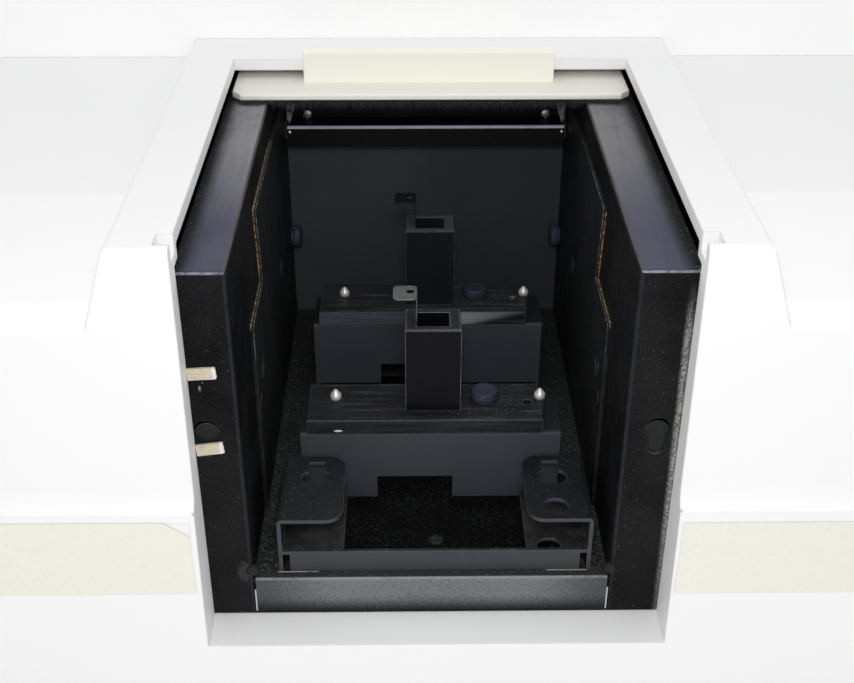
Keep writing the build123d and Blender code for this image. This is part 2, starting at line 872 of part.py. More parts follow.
def lid_guides():
    """Two channels behind the compartment that carry the open lid by its edges, each on a leg."""
    shapes = []
    inner = lid_half + guide_clear
    y = (wall_depth, wall_depth + guide_length)
    lip = (lid_top + guide_clear, lid_top + guide_clear + guide_sheet)
    for side in (-1, 1):
        web = span(sorted((side * inner, side * (inner + guide_sheet))), y, (-sheet, lip[1]))
        low = span(sorted((side * (inner - 14), side * inner)), y, (-sheet, 0))
        high = span(sorted((side * (inner - 3), side * inner)), y, lip)
        leg_y = (y[1] - guide_sheet, y[1])
        leg = span(sorted((side * (inner - 14), side * (inner + guide_sheet))), leg_y, (optic_z, 0))
        shapes.append(web + low + high + leg)
    return shapes


# Cell blocks

def pedestal(beam):
    """A folded stand for a cell block: top, front and back down to just above the floor, and two side legs."""
    middle = pedestal_middle
    x = (middle - pedestal_width / 2, middle + pedestal_width / 2)
    y = (beam - base_front + 0.8, beam - base_front + 0.8 + base_depth)
    top = -base_top_drop - base_thick
    block = span(x, y, (-floor_drop, top))
    folds = block.edges().filter_by(lambda e: e.center().Z > top - 0.1)
    folds = folds.filter_by(lambda e: e.length > base_width)
    block = fillet(folds, bend)
    t = pedestal_sheet
    block = block - span((x[0] + t, x[1] - t), (y[0] + t, y[1] - t), (-floor_drop - 1, top - t))
    gap = span((x[0] + t, x[1] - t), (y[0] - 1, y[1] + 1), (-floor_drop - 1, -floor_drop + pedestal_lift))
    arch_x = (notch_middle - notch_width / 2, notch_middle + notch_width / 2)
    arch = span(arch_x, (y[0] - 1, y[1] + 1), (-floor_drop - 1, -floor_drop + notch_height))
    bore = rod(knob_x, beam, (top - t - 1, top + 1), knob_screw_radius)
    shape = block - gap - arch - bore
    for pin_x in (pin_left, pin_right):
        pin_top = -base_top_drop + pin_rise
        pin = rod(pin_x, beam, (top - t, pin_top - pin_radius), pin_radius)
        tip = Pos(pin_x, beam, pin_top - pin_radius / 2) * Cone(pin_radius, pin_radius * 0.25, pin_radius)
        shape = shape + (pin + tip)
    return shape


def cell_base(beam):
    """The base plate, with holes for its locating pins and screw and one spare hole."""
    x = (base_middle - base_width / 2, base_middle + base_width / 2)
    y = (beam - base_front, beam - base_front + base_depth)
    z = (-base_top_drop - base_thick, -base_top_drop)
    plate = chamfer(span(x, y, z).edges().filter_by(lambda e: e.center().Z > z[1] - 0.1), 0.4)
    through = (z[0] - 1, z[1] + 1)
    for pin_x in (pin_left, pin_right):
        plate = plate - rod(pin_x, beam, through, pin_radius + pin_clear)
    plate = plate - rod(knob_x, beam, through, knob_screw_radius + pin_clear)
    return plate - rod(spare_hole_x, beam - 3, (z[1] - 5, through[1]), spare_hole_radius)


def cell_holder(beam):
    """A square tower with a well for one cell and a slot for the beam through both sides."""
    x = (holder_middle - holder_width / 2, holder_middle + holder_width / 2)
    y = (beam - holder_depth / 2, beam + holder_depth / 2)
    z = (-base_top_drop, -base_top_drop + holder_height)
    tower = span(x, y, z)
    tower = chamfer(tower.edges().filter_by(lambda e: e.center().Z > z[1] - 0.1), 0.5)
    well = (holder_middle - well_width / 2, holder_middle + well_width / 2)
    tower = tower - span(well, (beam - well_depth / 2, beam + well_depth / 2), (z[0] + well_floor, z[1] + 1))
    slot_z = (-beam_drop - beam_slot_height / 2, -beam_drop + beam_slot_height / 2)
    slot_y = (beam - beam_slot_width / 2, beam + beam_slot_width / 2)
    return tower - span((x[0] - 1, x[1] + 1), slot_y, slot_z)


def spring_clip(beam):
    """A leaf spring in the well's left side, bent out above the tower into a small tab with a hole."""
    wall = holder_middle - well_width / 2
    top = -base_top_drop + holder_height + clip_rise
    foot = -base_top_drop + well_floor
    y = (beam - clip_width / 2, beam + clip_width / 2)
    leaf = span((wall, wall + clip_thick), y, (foot, top))
    tab_y = (beam - 7.6, beam - 7.6 + clip_tab_width)
    tab = rounded_panel((wall + clip_thick - clip_tab, wall + clip_thick), tab_y, (top - clip_thick, top), 2)
    tab = tab - rod(wall - 2.6, beam, (top - 2, top + 1), clip_hole_radius)
    return leaf + tab


def thumbscrew(beam):
    """The knurled screw that clamps a base plate to its pedestal; its shank runs in the pedestal's bore."""
    low = -base_top_drop + 0.05
    head = rod(knob_x, beam, (low, low + knob_height), knob_radius)
    rim = head.edges().filter_by(GeomType.CIRCLE).sort_by(Axis.Z)[-1]
    head = chamfer(rim, knob_edge)
    shank = rod(knob_x, beam, (low - knob_screw_length, low + 1), knob_screw_radius - running_clear)
    return head + shank


def accessory_bracket():
    """A low folded frame: a front strip that joins two ears, each a shelf, an outer wall and a tab turned inward."""
    t = bracket_sheet
    floor = -floor_drop
    top = floor + bracket_height
    shelf = floor + bracket_shelf_rise
    y = (bracket_front, bracket_back)
    strip_x = (bracket_left + bracket_wall_inset, bracket_right - bracket_wall_inset)
    shape = span(strip_x, (y[0], y[0] + t), (floor, shelf))
    for left in (True, False):
        x = (bracket_left, bracket_left + bracket_tab) if left else (bracket_right - bracket_tab, bracket_right)
        ear = span(x, y, (floor, top))
        outer = x[0] if left else x[1]
        fold = ear.edges().filter_by(lambda e: e.center().Z > top - 0.1 and abs(e.center().X - outer) < 0.1)
        ear = fillet(fold, bend)
        inward = (x[0] + t, x[1] + 1) if left else (x[0] - 1, x[1] - t)
        ear = ear - span(inward, (y[0] - 1, y[1] + 1), (shelf, top - t))
        ear = ear - span(inward, (y[0] - 1, y[1] + 1), (floor - 1, shelf - t))
        free = x[1] if left else x[0]
        tips = ear.edges().filter_by(lambda e: abs(e.center().X - free) < 0.1 and e.center().Z > top - t - 0.1)
        tips = tips.filter_by(lambda e: e.length < 2 * t and e.bounding_box().size.Z > t / 2)
        ear = fillet(tips, bracket_round)
        key_x = outer + (bracket_key_inset if left else -bracket_key_inset)
        key_y = y[1] - bracket_key_back
        through = (top - 2 * t, top + 1)
        half = bracket_key_slot / 2
        hole = top_profile(Pos(key_x, key_y) * SlotOverall(bracket_key_width, bracket_key_depth), through)
        ear = ear - hole - span((key_x - half, key_x + half), (key_y, key_y + bracket_key_reach), through)
        if not left:
            ear = ear - rod(key_x, y[0] + bracket_hole_front, through, bracket_hole_radius)
            low_x = outer - bracket_low_hole_inset
            low_y = y[0] + bracket_low_hole_front
            ear = ear - rod(low_x, low_y, (shelf - 2 * t, shelf + 1), bracket_hole_radius)
        shape = shape + ear
    return shape


# Inside the case

def optical_base():
    """The cast plate that carries the optics, with posts under the compartment's floor."""
    x = (case_left + optic_margin, case_right - optic_margin)
    y = (optic_margin, case_back - 3 * optic_margin)
    plate = rounded_panel(x, y, (optic_z - optic_thick, optic_z), optic_corner)
    for post_x in (wall_left + post_radius, wall_right - post_radius):
        for post_y in (y[0] + post_radius, wall_depth - post_radius):
            plate = plate + rod(post_x, post_y, (optic_z - 1, -floor_drop - sheet), post_radius)
    return plate


def motor(x, y, low):
    """A square stepper with its shaft bore facing up; low is the height of its underside."""
    half = motor_size / 2
    body = span((x - half, x + half), (y - half, y + half), (low, low + motor_length))
    body = chamfer(body.edges().filter_by(Axis.Z), motor_corner)
    top = low + motor_length
    return body - rod(x, y, (top - shaft_bore_depth, top + 1), shaft_radius)


def motor_along_x(face, y, z):
    """A square stepper on a foot, to the left of its face, whose shaft bore opens to the right."""
    half = motor_size / 2
    x = (face - motor_length, face)
    body = span(x, (y - half, y + half), (z - half, z + half))
    body = chamfer(body.edges().filter_by(Axis.X), motor_corner)
    foot = span(x, (y - half + motor_corner, y + half - motor_corner), (optic_z, z - half))
    return body + foot - rod_along_x((face - shaft_bore_depth, face + 1), y, z, shaft_radius)


def motor_along_y(x, face, z):
    """A square stepper on a foot, in front of its face, whose shaft bore opens to the back."""
    half = motor_size / 2
    y = (face - motor_length, face)
    body = span((x - half, x + half), y, (z - half, z + half))
    body = chamfer(body.edges().filter_by(Axis.Y), motor_corner)
    foot = span((x - half + motor_corner, x + half - motor_corner), y, (optic_z, z - half))
    return body + foot - rod_along_y(x, (face - shaft_bore_depth, face + 1), z, shaft_radius)


def stepper_motors():
    """The motors of the grating, slit disc, source mirror, filter wheel and chopper."""
    return [
        motor(grating_x, grating_y, optic_z + mono_wall),
        motor(source_mirror_x, source_mirror_y, optic_z),
        motor_along_y(exit_x, slit_disc_y - wheel_gap, slit_disc_z),
        motor_along_x(wheel_x - wheel_gap, wheel_y, filter_wheel_z),
        motor_along_x(chopper_x, chopper_y, -beam_drop),
    ]


def monochromator_housing():
    """A cast box, open above, with a slit in its left side for the source and one in front for the exit."""
    x = (mono_left, mono_left + mono_width)
    y = (mono_front, mono_front + mono_depth)
    z = (optic_z, optic_z + mono_height)
    box = rounded_panel(x, y, z, mono_corner)
    w = mono_wall
    box = box - rounded_panel((x[0] + w, x[1] - w), (y[0] + w, y[1] - w), (z[0] + w, z[1] + 1), mono_corner - w + 1)
    slit_z = (-beam_drop - slit_height / 2, -beam_drop + slit_height / 2)
    entrance = span((x[0] - 1, x[0] + w + 1), (wheel_y - slit_width / 2, wheel_y + slit_width / 2), slit_z)
    exit_span = (exit_x - slit_width / 2, exit_x + slit_width / 2)
    return box - entrance - span(exit_span, (y[0] - 1, y[0] + w + 1), slit_z)


def monochromator_cover():
    x = (mono_left, mono_left + mono_width)
    y = (mono_front, mono_front + mono_depth)
    top = optic_z + mono_height
    return rounded_panel(x, y, (top, top + mono_cover_thick), mono_corner)


def grating_turret():
    """The turning table with its shaft in the motor."""
    low = optic_z + mono_wall + motor_length
    table = rod(grating_x, grating_y, (low + 1, low + 1 + turret_height), turret_radius)
    shaft = rod(grating_x, grating_y, (low - shaft_bore_depth + 1, low + 2), shaft_radius - running_clear)
    return table + shaft


def grating():
    """The ruled grating that stands on the turret across its axis."""
    low = optic_z + mono_wall + motor_length + 1 + turret_height
    x = (grating_x - grating_thick / 2, grating_x + grating_thick / 2)
    half = turret_radius * 0.9
    return span(x, (grating_y - half, grating_y + half), (low, low + grating_size * 0.8))


def collimating_mirrors():
    """Two thick mirrors on feet at the far end of the monochromator."""
    shapes = []
    back = mono_front + mono_depth - mono_wall - collimator_gap
    y = (back - collimator_thick, back)
    low = optic_z + mono_wall
    for x in (grating_x, grating_x + collimator_pitch):
        foot = span((x - collimator_foot / 2, x + collimator_foot / 2), y, (low, low + collimator_foot / 2))
        disc = rod_along_y(x, y, low + collimator_foot / 2 + collimator_radius - 1, collimator_radius)
        shapes.append(foot + disc)
    return shapes


def slit_disc():
    """A thin disc with slits of rising width, on its motor's shaft in front of the exit slit."""
    y = slit_disc_y
    disc = rod_along_y(exit_x, (y, y + slit_disc_thick), slit_disc_z, slit_disc_radius)
    for step in range(slit_steps):
        turn = Pos(exit_x, y, slit_disc_z) * Rot(0, 360 / slit_steps * step, 0)
        width = slit_narrow * (step + 1)
        disc = disc - turn * Pos(0, 0, slit_disc_radius * 0.6) * Box(width, 4 * slit_disc_thick, slit_height * 0.6)
    shaft = (y - wheel_gap - shaft_bore_depth + 1, y + slit_disc_thick / 2)
    return disc + rod_along_y(exit_x, shaft, slit_disc_z, shaft_radius - running_clear)


def source_housing():
    """The lamp house: a sheet box with cooling slots above and a port towards the filters."""
    x = (source_left, source_left + source_width)
    y = (source_front, source_front + source_depth)
    z = (optic_z, optic_z + source_height)
    w = source_wall
    box = span(x, y, z) - span((x[0] + w, x[1] - w), (y[0] + w, y[1] - w), (z[0] - 1, z[1] - w))
    for row in range(1, source_slots + 1):
        slot_y = y[0] + source_depth * row / (source_slots + 1)
        slot = (slot_y - vent_width / 2, slot_y + vent_width / 2)
        box = box - span((x[0] + lamp_radius, x[1] - lamp_radius), slot, (z[1] - w - 1, z[1] + 1))
    port = rod_along_x((x[1] - w - 1, x[1] + 1), wheel_y, -beam_drop, filter_radius)
    return box - port


def lamp_stand(x, y, radius, height):
    """A round lamp on its socket."""
    seat = optic_z + lamp_socket_height
    socket = rod(x, y, (optic_z, seat), radius + lamp_socket_wall)
    tube = rod(x, y, (seat, seat + height), radius)
    tip = tube.edges().filter_by(GeomType.CIRCLE).sort_by(Axis.Z)[-1]
    return socket + chamfer(tip, radius * 0.5)


def deuterium_lamp():
    return lamp_stand(source_mirror_x, source_front + lamp_inset, lamp_radius, lamp_height)


def tungsten_lamp():
    return lamp_stand(source_mirror_x, source_front + source_depth - lamp_inset, bulb_radius, bulb_height)


def source_mirror():
    """The flat mirror that picks one lamp, on its motor's shaft."""
    z = motor_top
    table = rod(source_mirror_x, source_mirror_y, (z + 1, z + flip_table_top), flip_width / 2 + 1)
    shaft = rod(source_mirror_x, source_mirror_y, (z - shaft_bore_depth + 1, z + 2), shaft_radius - running_clear)
    middle = z + flip_table_top + flip_height / 2 - 1
    plate = Pos(source_mirror_x, source_mirror_y, middle) * Rot(0, 0, 45) * Box(flip_thick, flip_width, flip_height)
    return table + shaft + plate


def filter_wheel():
    """A thick wheel with a ring of filter holes, on its motor's shaft."""
    z = filter_wheel_z
    wheel = rod_along_x((wheel_x, wheel_x + wheel_thick), wheel_y, z, wheel_radius)
    ring = wheel_radius - filter_radius - 4
    for step in range(filter_count):
        turn = 2 * pi * step / filter_count
        hole_y = wheel_y + ring * sin(turn)
        hole_z = z + ring * cos(turn)
        wheel = wheel - rod_along_x((wheel_x - 1, wheel_x + wheel_thick + 1), hole_y, hole_z, filter_radius)
    shaft = (wheel_x - wheel_gap - shaft_bore_depth + 1, wheel_x + 1)
    return wheel + rod_along_x(shaft, wheel_y, z, shaft_radius - running_clear)


def beam_chopper():
    """A mirrored sector disc that sends the light down one beam and then the other."""
    x = (chopper_x + wheel_gap, chopper_x + wheel_gap + chopper_thick)
    disc = rod_along_x(x, chopper_y, -beam_drop, chopper_radius)
    reach = chopper_radius + 1
    for blade in range(chopper_blades):
        turn = 360 / chopper_blades * blade
        points = [(chopper_hub, chopper_hub), (reach, chopper_hub), (reach, reach), (chopper_hub, reach)]
        sector = side_profile(points, (x[0] - 1, x[1] + 1))
        disc = disc - Pos(0, chopper_y, -beam_drop) * Rot(turn, 0, 0) * sector
    shaft = (chopper_x - shaft_bore_depth + 1, x[0] + 1)
    return disc + rod_along_x(shaft, chopper_y, -beam_drop, shaft_radius - running_clear)


def mirror_places():
    """Each beam mirror's place and turn: two beside each side wall, and one that folds the exit beam."""
    for beam in (front_beam, rear_beam):
        yield mirror_left, beam, 45
        yield mirror_right, beam, -45
    yield exit_x, chopper_y, 45


def mirror_mounts():
    shapes = []
    for x, y, turn in mirror_places():
        post = rod(x, y, (optic_z, -beam_drop - mirror_size / 2 - 4), mirror_post_radius)
        table = Pos(x, y, -beam_drop - mirror_size / 2 - 2) * Rot(0, 0, turn) * Box(mirror_thick + 6, mirror_size, 4)
        shapes.append(post + table)
    return shapes


def beam_mirrors():
    shapes = []
    for x, y, turn in mirror_places():
        shapes.append(Pos(x, y, -beam_drop) * Rot(0, 0, turn) * Box(mirror_thick, mirror_size, mirror_size))
    return shapes


def detector_housing():
    """The light-tight box of the detector, with a port for each beam."""
    x = (detector_left, detector_left + detector_width)
    y = (detector_front, detector_front + detector_depth)
    z = (optic_z, optic_z + detector_height)
    w = detector_wall
    box = rounded_panel(x, y, z, 2 * w)
    box = box - rounded_panel((x[0] + w, x[1] - w), (y[0] + w, y[1] - w), (z[0] - 1, z[1] - w), w)
    for beam in (front_beam, rear_beam):
        box = box - rod_along_x((x[0] - 1, x[0] + w + 1), beam, -beam_drop, filter_radius)
    return box


def photomultiplier():
    x = detector_left + detector_width / 2
    y = detector_front + detector_depth / 2
    seat = optic_z + tube_socket_height
    socket = rod(x, y, (optic_z, seat), tube_radius + tube_socket_wall)
    return socket + rod(x, y, (seat, seat + tube_height), tube_radius)


def control_board():
    """The electronics board on four standoffs, with its larger chips and capacitors."""
    x = (board_left, board_left + board_width)
    y = (board_front, board_front + board_depth)
    low = optic_z + board_stand
    top = low + board_thick
    board = span(x, y, (low, top))
    for stand_x in (x[0] + 2 * stand_half, x[1] - 2 * stand_half):
        for stand_y in (y[0] + 2 * stand_half, y[1] - 2 * stand_half):
            board = board + span((stand_x - stand_half, stand_x + stand_half),
                                 (stand_y - stand_half, stand_y + stand_half), (optic_z, low))
    for row in range(3):
        chip_y = y[0] + chip_pitch * (row + 0.5)
        for column in range(3):
            chip_x = x[0] + chip_pitch * (column + 0.5)
            chip = span((chip_x, chip_x + chip_length), (chip_y, chip_y + chip_width), (top, top + chip_rise))
            board = board + chip
        can_top = top + capacitor_height
        board = board + rod(x[1] - chip_pitch / 2, chip_y + chip_width / 2, (top, can_top), capacitor_radius)
    return board


def power_supply():
    """The mains transformer: a laminated core with a winding through it, on feet."""
    x = (supply_left, supply_left + supply_width)
    y = (supply_front, supply_front + supply_depth)
    z = (optic_z, optic_z + supply_height)
    core = span(x, (y[0] + supply_limb, y[1] - supply_limb), z)
    coil_x = (x[0] + supply_limb, x[1] - supply_limb)
    return core + rounded_panel(coil_x, y, (z[0] + supply_yoke, z[1] - supply_yoke), supply_yoke)


def fan_place():
    return fan_x, panel_y - sheet, -fan_drop


def fan_frame():
    """The square frame of the fan against the rear panel, with three arms that hold its hub."""
    x, y, z = fan_place()
    half = fan_size / 2
    frame = span((x - half, x + half), (y - fan_depth, y), (z - half, z + half))
    frame = chamfer(frame.edges().filter_by(Axis.Y), fan_rim)
    frame = frame - rod_along_y(x, (y - fan_depth - 1, y + 1), z, half - fan_rim)
    for step in range(3):
        arm = Pos(x, y - fan_depth + fan_arm / 2, z) * Rot(0, 120 * step, 0)
        frame = frame + arm * Pos(half / 2, 0, 0) * Box(half - 1, fan_arm, 2 * fan_arm)
    hub = rod_along_y(x, (y - fan_depth, y - fan_depth + fan_arm), z, fan_hub_radius)
    return frame + hub - rod_along_y(x, (y - fan_depth - 1, y), z, shaft_radius)


def fan_rotor():
    x, y, z = fan_place()
    hub = rod_along_y(x, (y - fan_depth + fan_arm + 1, y - 2), z, fan_hub_radius)
    tip = fan_size / 2 - fan_rim - 1.5
    root = fan_hub_radius - 2
    for step in range(fan_blades):
        blade = Pos(x, y - fan_depth / 2 + 1, z) * Rot(0, 360 / fan_blades * step, 0)
        blade = blade * Pos((root + tip) / 2, 0, 0) * Rot(fan_pitch, 0, 0) * Box(tip - root, 2, fan_blade_width)
        hub = hub + blade
    shaft = (y - fan_depth + 0.5, y - fan_depth + fan_arm + 2)
    return hub + rod_along_y(x, shaft, z, shaft_radius - running_clear)


def panel_cut(x, width, height):
    """A cut through the rear panel for a part that sits in it."""
    z = (-inlet_drop - height / 2, -inlet_drop + height / 2)
    return span((x - width / 2, x + width / 2), (panel_y - sheet - 1, panel_y + 1), z)


def rear_panel():
    """The sheet-steel back, with vents, the fan's grille and cuts for the inlet, switch and data connector."""
    x = (cover_left + cover_wall, cover_right - cover_wall)
    panel = span(x, (panel_y - sheet, panel_y), (case_low, case_top - cover_wall))
    lower_x = (case_left + cover_wall, case_right - cover_wall)
    panel = panel + span(lower_x, (panel_y - sheet, panel_y), (case_low, panel_high))
    through = (panel_y - sheet - 1, panel_y + 1)
    reach = fan_size / 2 - fan_rim
    for column in range(-grille_half_count, grille_half_count + 1):
        slot_x = fan_x + column * grille_pitch
        half = sqrt(reach**2 - (column * grille_pitch) ** 2)
        slot = (slot_x - vent_width / 2, slot_x + vent_width / 2)
        panel = panel - span(slot, through, (-fan_drop - half, -fan_drop - grille_bar / 2))
        panel = panel - span(slot, through, (-fan_drop + grille_bar / 2, -fan_drop + half))
    for column in range(vent_count):
        left = vent_x + column * vent_pitch
        panel = panel - span((left, left + vent_width), through, (vent_z, vent_z + vent_height))
    panel = panel - panel_cut(inlet_x, inlet_width - 2 * inlet_side, inlet_height - 2 * inlet_end)
    panel = panel - panel_cut(rocker_x, rocker_width + 2 * rocker_side, rocker_height + 2 * rocker_end)
    width = connector_width - 2 * (connector_side - connector_clear)
    return panel - panel_cut(connector_x, width, connector_height - 2 * connector_wall)


def mains_inlet():
    """The three-pole inlet: a flanged socket through the rear panel."""
    x = (inlet_x - inlet_width / 2, inlet_x + inlet_width / 2)
    z = (-inlet_drop - inlet_height / 2, -inlet_drop + inlet_height / 2)
    face = panel_y + inlet_flange
    bottom = panel_y - inlet_depth
    flange = span(x, (panel_y, face), z)
    body_x = (x[0] + inlet_side, x[1] - inlet_side)
    body_z = (z[0] + inlet_end, z[1] - inlet_end)
    shape = flange + span(body_x, (bottom, face), body_z)
    corners = shape.edges().filter_by(Axis.Y).filter_by(lambda e: e.length < inlet_flange + 0.1)
    shape = fillet(corners, inlet_round)
    well_x = (body_x[0] + inlet_wall_side, body_x[1] - inlet_wall_side)
    well_z = (body_z[0] + inlet_wall_end, body_z[1] - inlet_wall_end)
    shape = shape - span(well_x, (bottom + inlet_base, face + 1), well_z)
    for step in (-1, 0, 1):
        blade_x = inlet_x + step * blade_pitch
        blade_z = -inlet_drop + (-blade_offset if step else blade_offset)
        shape = shape + span((blade_x - blade_half_width, blade_x + blade_half_width),
                             (bottom + inlet_base / 2, panel_y - blade_setback),
                             (blade_z - blade_half_height, blade_z + blade_half_height))
    return shape


def rocker_frame():
    """The bezel and body that hold the power rocker."""
    face = panel_y + rocker_bezel
    body_x = (rocker_x - rocker_width / 2 - rocker_side, rocker_x + rocker_width / 2 + rocker_side)
    body_z = (-inlet_drop - rocker_height / 2 - rocker_end, -inlet_drop + rocker_height / 2 + rocker_end)
    body = span(body_x, (panel_y - rocker_depth, face), body_z)
    outer_x = (body_x[0] - rocker_bezel, body_x[1] + rocker_bezel)
    bezel = span(outer_x, (panel_y, face), (body_z[0] - rocker_bezel, body_z[1] + rocker_bezel))
    half_x = rocker_width / 2 + rocker_clear
    half_z = rocker_height / 2 + rocker_swing
    well = span((rocker_x - half_x, rocker_x + half_x), (panel_y - rocker_well, face + 1),
                (-inlet_drop - half_z, -inlet_drop + half_z))
    bore = rod_along_x((rocker_x - half_x - 1, rocker_x + half_x + 1), panel_y - rocker_pivot_depth, -inlet_drop,
                       rocker_pivot + running_clear)
    return bezel + body - well - bore


def power_rocker():
    """The rocker: a shallow vee in front of its pivot, drawn with one end pressed."""
    z = -inlet_drop
    half = rocker_height / 2
    foot = half * rocker_foot_share
    axis_y = panel_y - rocker_pivot_depth
    points = [(axis_y, z - foot), (panel_y + rocker_low, z - half), (panel_y + rocker_middle, z)]
    points += [(panel_y + rocker_high, z + half), (axis_y, z + foot)]
    x = (rocker_x - rocker_width / 2, rocker_x + rocker_width / 2)
    return side_profile(points, x) + rod_along_x((x[0] - 1, x[1] + 1), axis_y, z, rocker_pivot)


def data_connector():
    """The wide data connector on the rear panel, with its two standoffs."""
    x = (connector_x - connector_width / 2, connector_x + connector_width / 2)
    z = (-inlet_drop - connector_height / 2, -inlet_drop + connector_height / 2)
    flange = span(x, (panel_y, panel_y + connector_flange), z)
    shell_x = (x[0] + connector_side, x[1] - connector_side)
    shell_z = (z[0] + connector_end, z[1] - connector_end)
    shell = span(shell_x, (panel_y - connector_depth, panel_y + connector_rise), shell_z)
    slot_x = (shell_x[0] + connector_wall, shell_x[1] - connector_wall)
    slot_z = (shell_z[0] + connector_wall, shell_z[1] - connector_wall)
    shape = flange + shell - span(slot_x, (panel_y + connector_flange, panel_y + connector_rise + 1), slot_z)
    for stud_x in (x[0] + stud_inset, x[1] - stud_inset):
        shape = shape + rod_along_y(stud_x, (panel_y + 1, panel_y + stud_rise), -inlet_drop, stud_radius)
    return shape


def write(name, shape):
    """Moves a part from the opening's frame to the instrument's and writes it."""
    solids = shape if isinstance(shape, list) else [shape]
    moved = [to_instrument * solid for solid in solids]
    part = moved[0] if len(moved) == 1 else Compound(children=moved)
    part.label = name
    export_step(part, f"parts/{name}.step")


def main():
    os.makedirs("parts", exist_ok=True)
    write("upper_cover", upper_cover())
    write("lower_front_panel", lower_front_panel())
    write("rear_top_cover", rear_top_cover())
    write("side_skirts", [side_skirt(True), side_skirt(False)])
    write("rear_panel", rear_panel())
    write("chassis_tray", chassis_tray())
    write("feet", feet())
    write("front_strips", [front_strip(True), front_strip(False)])
    write("rail_frame_left", rail_frame(True))
    write("rail_frame_right", rail_frame(False))
    write("front_lip", front_lip())
    write("compartment_floor", compartment_floor())
    write("back_wall", back_wall())
    write("back_ledge", back_ledge())
    write("side_liners", [liner(True), liner(False)])
    write("beam_windows", beam_windows())
    write("side_knob_left", side_knob(True))
    write("side_knob_right", side_knob(False))
    write("keyhole_plates", keyhole_plates())
    write("foam_pads", foam_pads())
    write("lid_plate", lid_plate())
    write("lid_handle", lid_handle())
    write("lid_felt", lid_felt())
    write("lid_guides", lid_guides())
    write("accessory_bracket", accessory_bracket())
    for place, beam in (("front", front_beam), ("rear", rear_beam)):
        write(f"pedestal_{place}", pedestal(beam))
        write(f"cell_base_{place}", cell_base(beam))
        write(f"cell_holder_{place}", cell_holder(beam))
        write(f"spring_clip_{place}", spring_clip(beam))
        write(f"thumbscrew_{place}", thumbscrew(beam))
    write("base_isolators", base_isolators())
    write("optical_base", optical_base())
    write("stepper_motors", stepper_motors())
    write("monochromator_housing", monochromator_housing())
    write("monochromator_cover", monochromator_cover())
    write("grating_turret", grating_turret())
    write("grating", grating())
    write("slit_disc", slit_disc())
    write("source_housing", source_housing())
    write("source_lamps", [deuterium_lamp(), tungsten_lamp()])
    write("source_mirror", source_mirror())
    write("filter_wheel", filter_wheel())
    write("beam_chopper", beam_chopper())
    write("mirror_mounts", mirror_mounts())
    write("mirrors", beam_mirrors() + collimating_mirrors())
    write("detector_housing", detector_housing())
    write("photomultiplier", photomultiplier())
    write("control_board", control_board())
    write("power_supply", power_supply())
    write("fan_frame", fan_frame())
    write("fan_rotor", fan_rotor())
    write("mains_inlet", mains_inlet())
    write("rocker_frame", rocker_frame())
    write("power_rocker", power_rocker())
    write("data_connector", data_connector())


main()
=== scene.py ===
"""Finishes and fine pieces for a bench UV-visible spectrophotometer with its sample lid pushed back."""

import math

import bmesh
import bpy
import numpy as np
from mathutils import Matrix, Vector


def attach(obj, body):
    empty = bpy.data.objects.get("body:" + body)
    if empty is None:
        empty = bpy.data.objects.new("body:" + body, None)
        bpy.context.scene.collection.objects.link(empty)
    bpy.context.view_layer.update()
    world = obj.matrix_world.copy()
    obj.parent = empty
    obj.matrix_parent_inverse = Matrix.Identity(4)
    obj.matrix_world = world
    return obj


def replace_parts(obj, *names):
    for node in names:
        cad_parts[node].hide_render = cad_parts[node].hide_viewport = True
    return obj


bl_info = {
    "name": "Spectrophotometer Looks",
    "version": (1, 0, 0),
    "blender": (4, 5, 0),
    "location": "3D View > Sidebar > Instrument",
    "description": "Finishes and fine pieces for a bench UV-visible spectrophotometer",
    "category": "Object",
}

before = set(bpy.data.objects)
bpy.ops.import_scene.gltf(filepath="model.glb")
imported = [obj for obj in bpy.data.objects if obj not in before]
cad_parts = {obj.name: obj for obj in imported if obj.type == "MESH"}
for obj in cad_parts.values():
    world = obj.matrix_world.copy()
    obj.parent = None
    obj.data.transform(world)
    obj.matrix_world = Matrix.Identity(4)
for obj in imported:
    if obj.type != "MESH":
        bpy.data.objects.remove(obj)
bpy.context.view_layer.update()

# The middle of the opening's front edge in the row frame, in millimetres
MM = 0.001
OPENING = np.array((100.0, -332.2, 250.0))

# Places and sizes in millimetres from that middle
WALL_MIDDLE = -2.0
WALL_HALF = 80.0
WALL_DEPTH = 244.4
SURROUND_HALF = 102.0
CASE_LEFT = -592.0
CASE_RIGHT = 392.0
SEAM = -104.2
FRONT_BEAM = 71.8
REAR_BEAM = 171.8
BASE_TOP = -107.7
FLOOR = -158.0
PANEL_BACK = 677.2
SOCKET_DROP = -150.0

# The compartment's middle in metres, plain white, and the width of the camera's sensor
MIDDLE_X = (OPENING[0] + WALL_MIDDLE) * MM
WHITE = (1.0, 1.0, 1.0)
SENSOR = 36.0


def from_opening(points):
    """Millimetres from the middle of the sample opening's front edge to metres in the row frame."""
    return (np.asarray(points, float) + OPENING) * MM


# Materials


